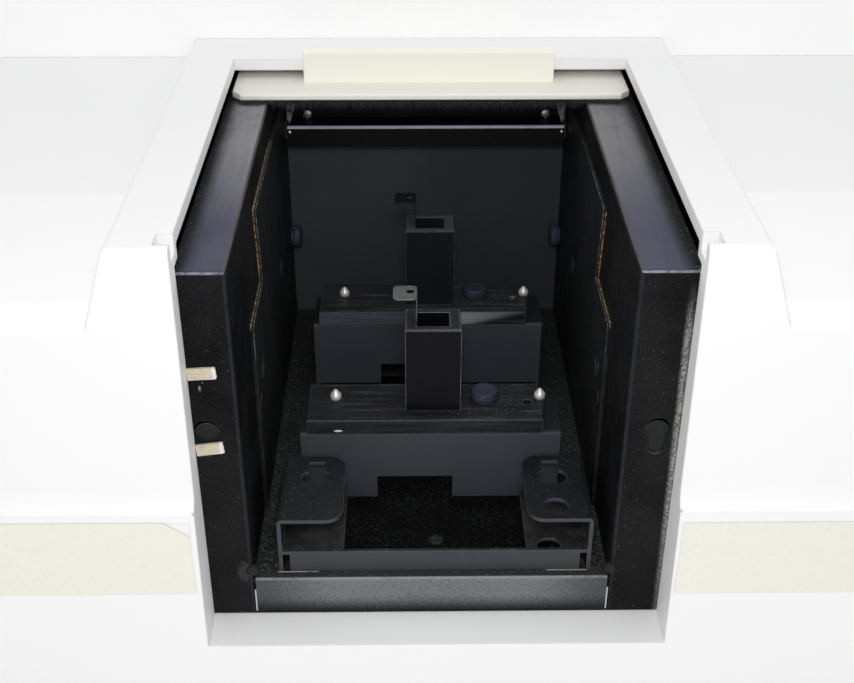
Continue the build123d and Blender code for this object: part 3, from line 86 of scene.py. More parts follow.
class Output:
    """An output of a node, which takes plain arithmetic."""

    def __init__(self, nodes, socket):
        self.nodes = nodes
        self.socket = socket

    def __add__(self, other):
        return self.nodes.maths("ADD", self, other)

    def __sub__(self, other):
        return self.nodes.maths("SUBTRACT", self, other)

    def __rsub__(self, other):
        return self.nodes.maths("SUBTRACT", other, self)

    def __mul__(self, other):
        return self.nodes.maths("MULTIPLY", self, other)

    def __truediv__(self, other):
        return self.nodes.maths("DIVIDE", self, other)

    def __pow__(self, other):
        return self.nodes.maths("POWER", self, other)

    def __abs__(self):
        return self.nodes.maths("ABSOLUTE", self)

    def other(self, name):
        """Another output of the same node."""
        return Output(self.nodes, self.socket.node.outputs[name])

    def step(self, low, high, out_low=0.0, out_high=1.0):
        """A smooth step of the value from low to high, mapped to another range."""
        ends = {"From Min": low, "From Max": high, "To Min": out_low, "To Max": out_high}
        return self.nodes.add("MapRange", {"Value": self, **ends}, interpolation_type="SMOOTHSTEP")


class Nodes:
    """A node tree, with short ways to add nodes and join them."""

    def __init__(self, tree):
        self.tree = tree

    def feed(self, target, value):
        """Joins another node's output to a socket, or sets it to a plain value."""
        if isinstance(value, Output):
            self.tree.links.new(value.socket, target)
        elif target.type == "RGBA":
            target.default_value = (*value[:3], 1.0)
        else:
            target.default_value = value

    def add(self, kind, inputs=(), output=0, **settings):
        """Adds a shader node with its settings and inputs, and gives one of its outputs."""
        node = self.tree.nodes.new("ShaderNode" + kind)
        for name, value in settings.items():
            setattr(node, name, value)
        for name, value in dict(inputs).items():
            self.feed(node.inputs[name], value)
        return Output(self, node.outputs[output])

    def maths(self, operation, a, b=0.0, clamp=False):
        return self.add("Math", {0: a, 1: b}, operation=operation, use_clamp=clamp)

    def seen(self):
        """1 for rays that come from the camera, straight, mirrored or through glass."""
        path = self.add("LightPath", output="Is Camera Ray")
        seen = self.maths("MAXIMUM", path, path.other("Is Glossy Ray"))
        return self.maths("MAXIMUM", seen, path.other("Is Transmission Ray"))

    def surface(self, end, amount, low, high):
        """Mixes two shaders by an amount, and joins them to the tree's end."""
        mix = self.add("MixShader", {0: amount, 1: low, 2: high})
        self.feed(self.tree.nodes[end].inputs["Surface"], mix)


class Finish(Nodes):
    """A material that is built up in coats; tone is its colour so far."""

    def __init__(self, name, roughness=0.5, metallic=0.0, gloss=0.5, stretch=(1, 1, 1)):
        self.material = bpy.data.materials.new(name)
        self.material.use_nodes = True
        super().__init__(self.material.node_tree)
        self.shader = self.tree.nodes["Principled BSDF"]
        self.set("Roughness", roughness)
        self.set("Metallic", metallic)
        self.set("Specular IOR Level", gloss)
        self.place = self.add("TexCoord", output="Object")
        self.grain = self.add("Mapping", {"Vector": self.place, "Scale": stretch})
        self.tone = WHITE

    def set(self, socket, value):
        self.feed(self.shader.inputs[socket], value)

    def noise(self, scale, detail=3.0, rough=0.55, distortion=0.0, along=None):
        """Cloudy noise from 0 to 1, scale in repeats per metre."""
        inputs = {"Scale": scale, "Detail": detail, "Roughness": rough, "Distortion": distortion}
        return self.add("TexNoise", {"Vector": along or self.place, **inputs}, "Fac")

    def cells(self, scale, randomness=1.0):
        """Distance to scattered points, scale in cells per metre."""
        inputs = {"Vector": self.place, "Scale": scale, "Randomness": randomness}
        return self.add("TexVoronoi", inputs, "Distance")

    def times(self, *amounts):
        """The product of several amounts, held between 0 and 1."""
        product = amounts[0]
        for amount in amounts[1:]:
            product = self.maths("MULTIPLY", product, amount, True)
        return product

    def part(self, axis, source=None):
        """One coordinate of the object's own space, in metres."""
        return self.add("SeparateXYZ", {0: source or self.place}, "XYZ".index(axis))

    def facing(self, axis):
        """How far the surface's normal points along one axis, from -1 to 1."""
        return self.part(axis, self.add("NewGeometry", output="Normal"))

    def fold(self, axis, low, high):
        """1 on a rounded fold, where the normal's share along an axis lies between low and high."""
        share = abs(self.facing(axis))
        return self.times(share.step(low - 0.1, low), share.step(high, high + 0.05, 1.0, 0.0))

    def rounded(self, radius):
        """The normal with all edges rounded by a radius."""
        return self.add("Bevel", {"Radius": radius}, samples=4)

    def worn(self, radius, low=0.02, high=0.2):
        """1 on outer edges and 0 on flat faces, from the spread of normals bevelled within a radius."""
        normals = {0: self.rounded(radius), 1: self.add("NewGeometry", output="Normal")}
        return (1.0 - self.add("VectorMath", normals, "Value", operation="DOT_PRODUCT")).step(low, high)

    def specks(self, scale, size, share=1.0, patch=60.0, rare=7.0):
        """Round flecks in clouds that cover a share; as rare grows, fewer of them stand out."""
        spots = self.cells(scale)
        bright = self.part("X", spots.other("Color")) ** rare
        dots = self.times(spots.step(size * 0.5, size, 1.0, 0.0), bright)
        if share >= 1.0:
            return dots
        middle = 0.5 + (0.5 - share) * 0.45
        return self.times(dots, self.noise(patch, 3.0, 0.6).step(middle - 0.03, middle + 0.05))

    def spot(self, x, z, half_x, half_z):
        """A soft round mark on a face that looks forward, with its middle and half sizes in metres."""
        across = (self.part("X") - x) / half_x
        rise = (self.part("Z") - z) / half_z
        return (across**2.0 + rise**2.0).step(0.2, 1.0, 1.0, 0.0)

    def blend(self, amount, low, high):
        """Mixes two colours by an amount from 0 to 1."""
        return self.add("Mix", {0: amount, 6: low, 7: high}, 2, data_type="RGBA")

    def coat(self, colour, *amounts):
        """Lays a colour over the tone, by the product of some amounts."""
        self.tone = self.blend(self.times(*amounts), self.tone, colour)

    def dust(self, share=0.5, haze=1.0, pale=(0.42, 0.42, 0.41)):
        """Lays a thin uneven haze over the tone, with fine and coarse pale flecks gathered in clouds."""
        self.coat((0.2, 0.2, 0.21), self.noise(24.0, 5.0, 0.65).step(0.3, 0.75), 0.02 * haze)
        self.coat((0.2, 0.21, 0.21), self.noise(1300.0, 3.0, 0.7).step(0.5, 0.75), 0.06 * haze)
        small = self.specks(520.0, 0.11, share, 60.0)
        large = self.specks(210.0, 0.06, share * 0.8, 45.0)
        self.coat(pale, self.maths("MAXIMUM", small, large), 0.8)

    def gloss_by(self, amount, low, high, smooth, rough):
        """Spreads the roughness between two values as an amount goes from low to high."""
        self.set("Roughness", amount.step(low, high, smooth, rough))

    def bumped(self, height, distance, strength=0.5, radius=0.0):
        """Ends the material with its tone, and a bump by a height from 0 to 1 over rounded edges."""
        inputs = {"Strength": strength, "Distance": distance, "Height": height}
        if radius:
            inputs["Normal"] = self.rounded(radius)
        self.set("Normal", self.add("Bump", inputs))
        self.set("Base Color", self.tone)
        return self.material

    def stoved(self, smooth=0.4, rough=0.64, radius=0.0006):
        """Ends a flat black stove enamel."""
        self.gloss_by(self.noise(45.0, 4.0), 0.25, 0.75, smooth, rough)
        return self.bumped(self.noise(1500.0, 2.0), 0.00005, 0.5, radius)


def tint(colour, share):
    """A colour made lighter or darker by a share, held to what a surface can return."""
    return [min(0.98, c * share) for c in colour]


def enamel(name, colour, speck=0.03, roughness=0.5, ahead=None):
    """Stoved satin enamel: faint cloudiness, a fine orange-peel bump, sparse dark specks of dirt.

    Faces that look forward take the colour ahead, if one is given: a painted highlight.
    """
    f = Finish(name, roughness, gloss=0.25)
    f.tone = f.blend(f.noise(9.0, 4.0), tint(colour, 0.985), tint(colour, 1.01))
    if ahead:
        # Faces that look forward take a lighter colour: a painted highlight.
        f.coat(ahead, f.facing("Y").step(-0.7, -0.3, 1.0, 0.0))
    f.coat((0.3, 0.27, 0.22), f.specks(260.0, 0.06, 0.12, 70.0), speck * 20)
    f.gloss_by(f.noise(30.0), 0.2, 0.8, roughness - 0.06, roughness + 0.1)
    return f.bumped(f.noise(900.0, 2.0), 0.00004, 0.4, 0.0012)


def flat_black(name, front, top=None, dust=0.5, edge=0.3, gloss=0.12, haze=1.0, grit=0.0):
    """Flat black stove enamel: greyed faces, flecks of dust, and edges worn towards grey.

    Faces that look up take the colour top, the others front; dust is the share that carries flecks, and
    grit the strength of a settled layer of crumbs.
    """
    f = Finish(name, gloss=gloss)
    f.tone = front
    if top:
        f.coat(top, f.facing("Z").step(0.55, 0.95))
    f.dust(dust, haze)
    if grit:
        crumbs = f.noise(520.0, 5.0, 0.8).step(0.46, 0.66)
        clouds = f.noise(50.0).step(0.3, 0.6, 0.5, 1.0)
        thin = f.part("Y").step(-0.3, -0.17, 1.0, 0.25)
        f.coat((0.17, 0.18, 0.17), crumbs, clouds, thin, grit)
    f.coat((0.3, 0.3, 0.31), f.worn(0.0006), f.noise(170.0).step(0.3, 0.65), edge)
    return f.stoved()


def rail_enamel(name):
    """Flat black, its upper flanges a lighter black as painted light, under a bluish film that is a painted
    reflection.

    The painted reflection grows towards the back and fades before the flange's outer edge, where pale
    crumbs gather. The fold over the front and the upright fold at the front flange's outer edge carry
    painted highlights; the fold over the wall is tan with wear, and the front flange on the right carries a
    soft grey band beside its outer edge. Two smears lie on the left front flange, and the edges are worn
    grey.
    """
    # Colours of the painted reflection on the upper flanges.
    film = (0.082, 0.085, 0.122)
    far_sheen = (0.26, 0.26, 0.275)
    f = Finish(name, 0.46, gloss=0.06, stretch=(1, 0.04, 1))
    x, y, z = [f.part(axis) for axis in "XYZ"]
    up = f.facing("Z").step(0.9, 0.985)
    ahead = f.facing("Y").step(-0.6, -0.2, 1.0, 0.0)
    sideways = abs(f.facing("X")).step(0.2, 0.4)
    right = x.step(0.09, 0.1)
    ragged = f.noise(70.0, 4.0, 0.65) - 0.5
    across = x - MIDDLE_X
    edge = abs(across) + ragged * 0.0025 - right * 0.003
    far = f.blend(right, far_sheen, tint(far_sheen, 0.79))
    # The painted reflection: bluer at the front, greyer towards the back.
    sheen_to_back = f.blend(y.step(-0.3, -0.19), film, far)
    streak = f.noise(650.0, 4.0, 0.6, along=f.grain).step(0.3, 0.7, 0.86, 1.1)
    behind = y.step(-0.215, -0.165)
    mottle = behind * f.noise(150.0, 5.0, 0.7).step(0.3, 0.62, 0.72, 1.06) + (1.0 - behind)
    f.tone = (0.002, 0.0021, 0.0026)
    f.coat((0.2, 0.2, 0.21), f.noise(14.0, 4.0, 0.6).step(0.35, 0.7), 0.04)
    # Upper flanges a lighter black than the fronts: painted light.
    f.coat((0.017, 0.018, 0.0185), up)
    f.dust(0.9, 1.7, (0.5, 0.5, 0.49))
    # The painted reflection over the upper flanges, fading before the outer edge.
    f.coat(sheen_to_back, f.times(up, edge.step(0.0925, 0.1, 1.0, 0.0)) * (streak * mottle))
    thin = y.step(-0.28, -0.16, 1.0, 0.25)
    f.coat((0.6, 0.6, 0.57), up, edge.step(0.096, 0.1), thin, f.specks(800.0, 0.26, rare=3.5), 0.9)
    patchy = f.noise(90.0, 4.0, 0.65).step(0.25, 0.6, 0.45, 1.0)
    # A soft painted highlight on the upright fold at the front flange's outer edge.
    f.coat((0.05, 0.054, 0.062), f.fold("X", 0.35, 0.9), ahead, patchy, 0.3)
    f.coat((0.3, 0.27, 0.24), f.fold("Z", 0.74, 0.93), sideways, patchy, 0.28)
    broken = f.noise(260.0, 4.0, 0.7).step(0.32, 0.6, 0.35, 1.0)
    # A broken painted highlight along the fold over the front.
    f.coat((0.24, 0.265, 0.31), f.fold("Z", 0.6, 0.88), ahead, broken)
    off = abs(across + ragged * 0.0012 - 0.1035 - z * -0.009)
    grain = f.noise(1100.0, 4.0, 0.75).step(0.35, 0.7, 0.15, 1.0)
    tall = f.times(z.step(0.215, 0.247, 1.0, 0.0), z.step(0.07, 0.15, 0.45, 1.0))
    f.coat((0.46, 0.45, 0.43), off.step(0.0, 0.0023, 1.0, 0.0), tall, grain, ahead)
    speckled = f.noise(420.0, 5.0, 0.8, 0.6).step(0.35, 0.68)
    smears = ((0.0033, 0.1966, 0.0007, 0.0019, 0.6), (0.0142, 0.0985, 0.0035, 0.0075, 0.09))
    for *place, share in smears:
        f.coat((0.45, 0.47, 0.5), f.spot(*place), ahead, speckled, share)
    f.coat((0.36, 0.37, 0.4), f.worn(0.0006), f.noise(90.0).step(0.25, 0.6), 0.2)
    return f.stoved(0.36, 0.6, 0.0007)


def back_enamel(name):
    """The back wall: slate grey below the ledge, darker to the right, with sparse dust flecks, and almost
    black above it, a painted shade under the lid.
    """
    f = Finish(name, gloss=0.15)
    haze = f.blend(f.part("X").step(0.06, 0.16), (0.056, 0.064, 0.074), (0.042, 0.05, 0.058))
    cloud = f.noise(26.0, 4.0, 0.65).step(0.3, 0.75, 0.88, 1.06)
    f.tone = (0.0, 0.0, 0.0)
    # Above the ledge the grey drops to a tenth: painted shade under the lid.
    f.coat(haze, cloud * f.part("Z").step(0.2135, 0.2155, 1.0, 0.1))
    f.dust(0.1, 0.5)
    return f.stoved()


def ledge_enamel(name):
    """Black sheet with a painted highlight along its upper fold and its two upturned ears grey."""
    f = Finish(name, 0.45, gloss=0.12)
    f.tone = (0.0045, 0.0046, 0.0054)
    # A painted highlight along the upper fold.
    f.coat((0.62, 0.65, 0.78), f.fold("Z", 0.45, 0.93), f.noise(60.0, 4.0, 0.6).step(0.2, 0.6, 0.8, 1.0))
    f.coat((0.42, 0.43, 0.46), f.part("Z").step(0.2175, 0.2185), f.noise(260.0).step(0.3, 0.6), 0.75)
    f.dust(0.3, 0.5)
    return f.bumped(f.noise(1500.0, 2.0), 0.00004, 0.4)


def lip_enamel(name):
    """The front lip: dusty grey fading to black along the foot, its top a dark grey as painted shade, with
    a bright line on its fold.

    Two stretches of its top are worn pale along the rear edge.
    """
    f = Finish(name, gloss=0.12)
    x, z = f.part("X"), f.part("Z")
    tooth = f.noise(620.0, 4.0, 0.75).step(0.32, 0.68, 0.68, 1.25)
    foot = z.step(0.0738, 0.085) * f.noise(12.0).step(0.3, 0.7, 0.85, 1.1)
    f.tone = (0.004, 0.004, 0.0045)
    f.coat((0.172, 0.19, 0.2), foot, tooth, abs(x - MIDDLE_X).step(0.04, 0.08, 1.0, 0.42))
    top = f.facing("Z").step(0.9, 0.98)
    # The top is far darker than the grey front: painted shade.
    f.coat((0.03, 0.031, 0.033), top)
    f.dust(1.0, 1.5)
    f.coat((0.42, 0.4, 0.36), top, f.specks(900.0, 0.3, rare=2.5), 0.55)
    broken = f.noise(120.0, 4.0, 0.7).step(0.3, 0.55, 0.3, 1.0)
    f.coat((0.3, 0.29, 0.28), f.fold("Z", 0.7, 0.92), broken, 0.75)
    across = abs(x - 0.0985)
    stretches = f.times(across.step(0.0508, 0.0525), across.step(0.0692, 0.0705, 1.0, 0.0))
    behind = f.part("Y").step(-0.3275, -0.3271)
    f.coat((0.5, 0.46, 0.37), top, stretches, behind, f.noise(90.0).step(0.25, 0.5), 0.9)
    return f.bumped(f.noise(1200.0), 0.00008, 0.6, 0.0004)


def bracket_enamel(name):
    """The accessory bracket: slate fronts; sides and tab tops darker as painted shade, the right tab darker
    still; a dusty shelf below the tabs, lighter than them as painted light; and pale cut edges.
    """
    f = Finish(name, gloss=0.12)
    up = f.facing("Z").step(0.55, 0.95)
    shelf = f.part("Z").step(0.112, 0.115, 1.0, 0.0)
    # Tab tops darker at the right than at the left: painted shade.
    plate = f.blend(f.part("X").step(0.1, 0.13), (0.014, 0.017, 0.022), (0.0085, 0.0105, 0.014))
    # The shelf: dusty, and lighter than the tabs as painted light.
    soil = f.noise(90.0, 4.0, 0.7).step(0.35, 0.65)
    shelf_dust_and_light = f.blend(soil, (0.018, 0.0175, 0.0175), (0.044, 0.043, 0.043))
    side = abs(f.facing("X")).step(0.5, 0.9)
    # Sides darker than the fronts: painted shade.
    f.tone = f.blend(side, (0.052, 0.059, 0.065), (0.02, 0.022, 0.024))
    # Tops darker than the fronts as painted shade; the shelf less so, as painted light over dust.
    f.coat(f.blend(shelf, plate, shelf_dust_and_light), up)
    f.dust(1.1, 1.2)
    f.coat((0.36, 0.36, 0.35), up, f.specks(800.0, 0.22, 0.7, 60.0, 3.5), 0.7)
    f.coat((0.2, 0.2, 0.215), f.worn(0.0007), f.noise(120.0).step(0.25, 0.5, 0.4, 1.0), 0.5)
    return f.bumped(f.noise(1500.0, 2.0), 0.00005, 0.5, 0.0006)


def brushed(name, colour, stretch=(1, 1, 1), roughness=0.34, metallic=1.0, streak=0.35, scale=160.0):
    """Brushed metal: long fine streaks along one axis in colour, gloss and height."""
    f = Finish(name, roughness, metallic, stretch=stretch)
    streaks = f.noise(scale, 5.0, 0.7, along=f.grain)
    low = tint(colour, 1 - streak)
    f.tone = f.blend(streaks.step(0.25, 0.75), low, tint(colour, 1 + streak))
    f.coat(low, f.noise(38.0, 4.0).step(0.45, 0.75), 0.3)
    f.gloss_by(streaks, 0.2, 0.8, roughness - 0.08, roughness + 0.16)
    return f.bumped(streaks, 0.00006, 0.5, 0.0004)


def base_black(name, colour, front_grey_and_reflection=False):
    """Black anodised plate with a coarse grain along X, glittering dust and a bright front edge.

    A plate with front_grey_and_reflection set has its front face grey over its left part, and a painted
    reflection, white, over a wedge at the right that thins to nothing along its top edge. The other plate
    has one small white mark.
    """
    f = Finish(name, 0.42, gloss=0.15, stretch=(0.03, 1, 1))
    streaks = f.noise(760.0, 4.0, 0.75, along=f.grain)
    x, up = f.part("X"), f.facing("Z").step(0.6, 0.95)
    f.tone = f.blend(streaks.step(0.35, 0.7), tint(colour, 0.35), tint(colour, 1.9))
    f.coat((0.27, 0.275, 0.285), up, streaks.step(0.58, 0.72), f.noise(60.0).step(0.35, 0.6), 0.7)
    near = abs(x - 0.116).step(0.01, 0.04, 1.0, 0.25)
    f.coat((0.42, 0.41, 0.36), up, f.specks(1050.0, 0.29, 0.95, 70.0, 1.6), near, 0.75)
    f.dust()
    if front_grey_and_reflection:
        front = f.facing("Y").step(-0.95, -0.8, 1.0, 0.0)
        left = x.step(0.088, 0.094, 1.0, 0.0)
        f.coat((0.11, 0.12, 0.155), front, left, streaks.step(0.25, 0.6, 0.4, 1.0), 0.9)
        # A painted reflection over a wedge at the right of the front face.
        level = (f.part("Z") - 0.1345) * 130.0
        wavy = (f.noise(160.0, along=f.grain) - 0.5) * 0.9
        wedge = (level + wavy - (x - 0.119) * 33.0).step(-0.25, 0.3)
        reflection_tone = f.blend(x.step(0.118, 0.145), (0.34, 0.36, 0.38), (0.2, 0.215, 0.23))
        f.coat(reflection_tone, front, wedge, x.step(0.113, 0.1155), streaks.step(0.2, 0.7, 0.6, 1.0), 0.95)
    else:
        small_white_mark = f.spot(0.0549, 0.1364, 0.0024, 0.0007)
        f.coat((0.75, 0.77, 0.8), f.facing("Y").step(-0.95, -0.3, 1.0, 0.0), small_white_mark)
    f.coat((0.36, 0.37, 0.38), f.worn(0.0004), f.noise(120.0).step(0.2, 0.45, 0.35, 1.0), 0.8)
    f.gloss_by(streaks, 0.2, 0.8, 0.34, 0.58)
    return f.bumped(streaks, 0.00006, 0.5, 0.0004)


def cast(name, colour, roughness, metallic, grain=420.0, depth=0.0003, gloss=0.5, dust=0.0):
    """Sand-cast metal: a pebbled surface with darker hollows and scattered dust."""
    f = Finish(name, roughness, metallic, gloss)
    pebble = f.noise(grain, 4.0, 0.6)
    f.tone = f.blend(pebble.step(0.3, 0.7), tint(colour, 0.55), colour)
    if dust:
        crumbs = f.noise(480.0, 5.0, 0.85).step(0.5, 0.66)
        f.coat((0.06, 0.068, 0.062), crumbs, f.noise(34.0).step(0.3, 0.6, 0.3, 1.0), dust)
    f.gloss_by(f.noise(60.0), 0.3, 0.7, roughness - 0.1, roughness + 0.12)
    return f.bumped(pebble, depth, 0.6, 0.0008)


def moulded(name, colour, roughness):
    """Moulded plastic: spark-eroded grain and a faint cloudiness."""
    f = Finish(name, roughness, gloss=0.35)
    f.tone = f.blend(f.noise(25.0), tint(colour, 0.97), tint(colour, 1.02))
    f.gloss_by(f.noise(80.0), 0.3, 0.7, roughness - 0.05, roughness + 0.1)
    return f.bumped(f.noise(1400.0, 2.0), 0.00004, 0.5, 0.0006)


def vinyl_strip(name, colour):
    """Matte vinyl strip: fine paper-like tooth, slight yellowing, and a darker edge: brown where faces look
    up or sideways, both the cut edge's colour and a painted shadow of the recess the strip sits in.
    """
    f = Finish(name, 0.62, gloss=0.2)
    age = f.noise(14.0, 5.0, 0.6).step(0.35, 0.7)
    f.tone = f.blend(age, tint(colour, 0.985), tint(colour, 1.01))
    f.coat(tint(colour, 0.955), f.noise(420.0, 3.0, 0.6).step(0.35, 0.7), 0.6)
    # Brown on faces that look up or sideways: the cut edge's colour and a painted shadow of the recess
    # along the strip's top.
    edge = f.maths("MAXIMUM", f.facing("Z").step(0.3, 0.7), abs(f.facing("X")).step(0.3, 0.7))
    f.coat((0.45, 0.36, 0.3), edge, 0.85)
    f.coat(tint(colour, 0.7), f.worn(0.0004), 0.4)
    return f.bumped(f.noise(600.0), 0.00012)


def clear_glass(name, colour, gloss=0.5):
    """Polished fused silica with faint smears."""
    f = Finish(name, 0.03, gloss=gloss)
    f.set("Base Color", colour)
    f.set("Transmission Weight", 0.92)
    f.set("IOR", 1.46)
    f.gloss_by(f.noise(60.0, 4.0), 0.45, 0.8, 0.01, 0.12)
    return f.material


def open_foam(name, colour):
    """Fine open-cell foam gone brittle: small darker pits, a yellowed middle and pale crumbling ends."""
    f = Finish(name, 0.9, gloss=0.2, stretch=(0.12, 1, 1))
    pores = f.cells(2600.0)
    f.tone = f.blend(f.noise(160.0, 4.0, 0.6).step(0.35, 0.7), colour, tint(colour, 0.86))
    f.coat(tint(colour, 0.6), pores.step(0.45, 0.8, 0.0, 0.3))
    stripe = f.noise(1500.0, 3.0, 0.6, along=f.grain).step(0.45, 0.7)
    f.coat((0.46, 0.33, 0.18), stripe, f.noise(90.0).step(0.35, 0.6), 0.7)
    chalky = f.part("X") + f.noise(500.0, 4.0, 0.7) * 0.002
    f.coat((0.86, 0.88, 0.86), chalky.step(0.0098, 0.0108))
    f.coat((0.9, 0.86, 0.76), f.worn(0.0007), 0.5)
    return f.bumped(pores, 0.0002, 0.6)


def pressed_felt(name, colour):
    """Pressed wool felt: tangled fibres from a twisted noise."""
    f = Finish(name, 0.95, gloss=0.15)
    fibres = f.noise(1100.0, 6.0, 0.8, 1.5)
    f.tone = f.blend(fibres, tint(colour, 0.4), tint(colour, 2.2))
    f.set("Sheen Weight", 0.15)
    return f.bumped(fibres, 0.0005, 0.9)


def solder_mask(name, colour):
    """Printed board lacquer over faint square tracks."""
    f = Finish(name, 0.35)
    tracks = f.cells(420.0, 0.35).step(0.25, 0.35)
    f.tone = f.blend(tracks, colour, tint(colour, 0.6))
    return f.bumped(tracks, 0.00006, 0.6)


def anodised(name, colour, roughness=0.4, metallic=0.85, gloss=0.5, dust=0.0, edge=0.85):
    """Anodised aluminium with a fine turned grain; dusty pieces have tops made lighter as painted light,
    and painted glints in patches along their edges.
    """
    f = Finish(name, roughness, metallic, gloss)
    grain = f.noise(700.0, 4.0, 0.6)
    f.tone = f.blend(grain, tint(colour, 0.75), tint(colour, 1.25))
    if dust:
        # Tops made six times lighter: painted light.
        f.coat(tint(colour, 6.0), f.facing("Z").step(0.7, 0.95))
        f.dust(dust, 0.6)
        # Pale patches on the edges: painted glints.
        glint_patches = f.noise(110.0).step(0.2, 0.5, 0.35, 1.0)
        f.coat((0.42, 0.44, 0.48), f.worn(0.0005, 0.01, 0.1), glint_patches, edge)
    f.gloss_by(grain, 0.3, 0.7, roughness - 0.06, roughness + 0.1)
    return f.bumped(grain, 0.00004, 0.4, 0.0005)


def bare_edge(name):
    """The raw edge of a plate: a golden brown line by the wall, a dark middle and a thin grey corner.

    The gold stops where the edge turns down for the last time, and on the right over its upper part. Pale
    flecks sit on all of it.
    """
    f = Finish(name, 0.6, gloss=0.2)
    x, z = f.part("X"), f.part("Z")
    out = abs(x - MIDDLE_X)
    brown = f.blend(f.noise(700.0, 4.0, 0.75).step(0.4, 0.66), (0.035, 0.022, 0.01), (0.5, 0.34, 0.15))
    pale = f.blend(f.noise(380.0, 3.0, 0.7).step(0.4, 0.65), (0.03, 0.032, 0.037), (0.25, 0.26, 0.3))
    f.tone = (0.006, 0.006, 0.007)
    f.coat(pale, out.step(0.0786, 0.0788, 1.0, 0.0), 0.85)
    bare = 1.0 - f.times(x.step(0.09, 0.1), z.step(0.2325, 0.2338))
    f.coat(brown, out.step(0.0792, 0.0795), z.step(0.1925, 0.1945), 0.95, bare)
    f.coat((0.6, 0.58, 0.5), f.specks(1300.0, 0.3, 0.35, 160.0), 0.6)
    return f.bumped(f.noise(2400.0), 0.0001, 0.7)


def bright_pin(name):
    """Bright turned steel, near black towards its foot as painted shade."""
    f = Finish(name, 0.36, 0.35)
    # Near black below the tip: painted shade on the shank.
    foot = f.part("Z").step(0.1427, 0.1449, 0.06, 1.0)
    turning = f.noise(900.0).step(0.3, 0.7, 0.85, 1.0)
    f.tone = (0.01, 0.01, 0.01)
    f.coat((0.85, 0.85, 0.81), foot, turning)
    return f.bumped(turning, 0.00003, 0.4)


def clad(material, *names):
    """Gives CAD nodes one material over all their faces."""
    for name in names:
        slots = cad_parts[name].data.materials
        slots.clear()
        slots.append(material)


# Surfaces


def spread(x, y, z):
    """One grid of points from coordinates that repeat over each other's rows and columns."""
    return np.stack(np.broadcast_arrays(x, y, z), -1)


def angles(count):
    """A row of angles evenly round a circle."""
    return np.linspace(0, 2 * math.pi, count, endpoint=False)[None]


def power(value, exponent):
    """A power that keeps the value's sign; on cosine and sine it squares off a circle."""
    return np.sign(value) * abs(value) ** exponent


def stand(x, y, z, axis, centre):
    """Points turned so that z runs along an axis, and moved to a centre."""
    order = {"X": (2, 0, 1), "Y": (1, 2, 0), "Z": (0, 1, 2)}[axis]
    return spread(x, y, z)[..., order] + np.array(centre, float)


def closed(grid):
    """A grid whose first and last rows are drawn in to their middles."""
    middle = grid.mean(1, keepdims=True) + 0 * grid
    return np.concatenate((middle[:1], grid, middle[-1:]))


def slab(front, back):
    """Loops that close the space between two like grids.

    Each loop runs along a row of front and returns along the same row of back. The first and last rows
    draw together on the line half way between the two, which closes the ends.
    """
    loops = np.concatenate((front, back[:, ::-1]), 1)
    middle = (front + back) / 2
    ends = np.concatenate((middle, middle[:, ::-1]), 1)
    return np.concatenate((ends[:1], loops, ends[-1:]))


def grid_mesh(name, points, material, body="case", sharp=35.0):
    """A mesh over grids of points in opening millimetres, shaped (copies, rows, columns, 3).

    A grid alone may leave out the copies. Neighbouring points make quads, and the last column joins the
    first. Points that fall together, as at a closed end, become one, and all faces are turned outwards.
    """
    points = np.asarray(points, float)
    if points.ndim == 3:
        points = points[None]
    copies, rows, columns = points.shape[:3]
    index = np.arange(copies * rows * columns).reshape(copies, rows, columns)
    index = np.concatenate((index, index[:, :, :1]), 2)
    quads = np.stack((index[:, :-1, :-1], index[:, 1:, :-1], index[:, 1:, 1:], index[:, :-1, 1:]), -1)
    mesh = bpy.data.meshes.new(name)
    mesh.from_pydata(from_opening(points.reshape(-1, 3)).tolist(), [], quads.reshape(-1, 4).tolist())
    shell = bmesh.new()
    shell.from_mesh(mesh)
    bmesh.ops.remove_doubles(shell, verts=shell.verts, dist=1e-7)
    bmesh.ops.recalc_face_normals(shell, faces=shell.faces)
    shell.to_mesh(mesh)
    shell.free()
    mesh.shade_smooth()
    mesh.set_sharp_from_angle(angle=math.radians(sharp))
    mesh.materials.append(material)
    piece = bpy.data.objects.new(name, mesh)
    bpy.context.scene.collection.objects.link(piece)
    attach(piece, body)
    return piece


def turned(profile, centre, axis, sides, flutes=0, depth=0.0):
    """A profile of (radius, height) rows carried round an axis through a centre.

    The radius loses depth, which may differ by row, times half of one minus the cosine of flutes times
    the angle.
    """
    radius, height = np.array(profile, float).T[:, :, None]
    angle = angles(sides)
    around = radius - depth * (1 - np.cos(flutes * angle)) / 2
    return stand(around * np.cos(angle), around * np.sin(angle), height, axis, centre)


def screw_head(centre, axis, radius, rise):
    """A domed screw head with a cross recess, standing rise above its centre along an axis.

    Height is rise times the root of one minus 0.8 times the share of the radius squared, less the recess:
    a cross whose arms are 0.16 of the radius wide and 0.62 of it long, with sloping sides.
    """
    share = np.concatenate((np.linspace(0, 1, 22), (1.0, 0.0)))[:, None]
    angle = angles(72)
    x, y = share * np.cos(angle), share * np.sin(angle)
    near, far = np.minimum(abs(x), abs(y)), np.maximum(abs(x), abs(y))
    cross = np.clip((0.16 - near) / 0.08, 0, 1) * np.clip((0.62 - far) / 0.12, 0, 1)
    height = abs(rise) * (np.sqrt(1 - 0.8 * share**2) - 0.55 * cross)
    height[-2:] = 0.0
    return stand(radius * x, radius * y, np.sign(rise) * height, axis, centre)


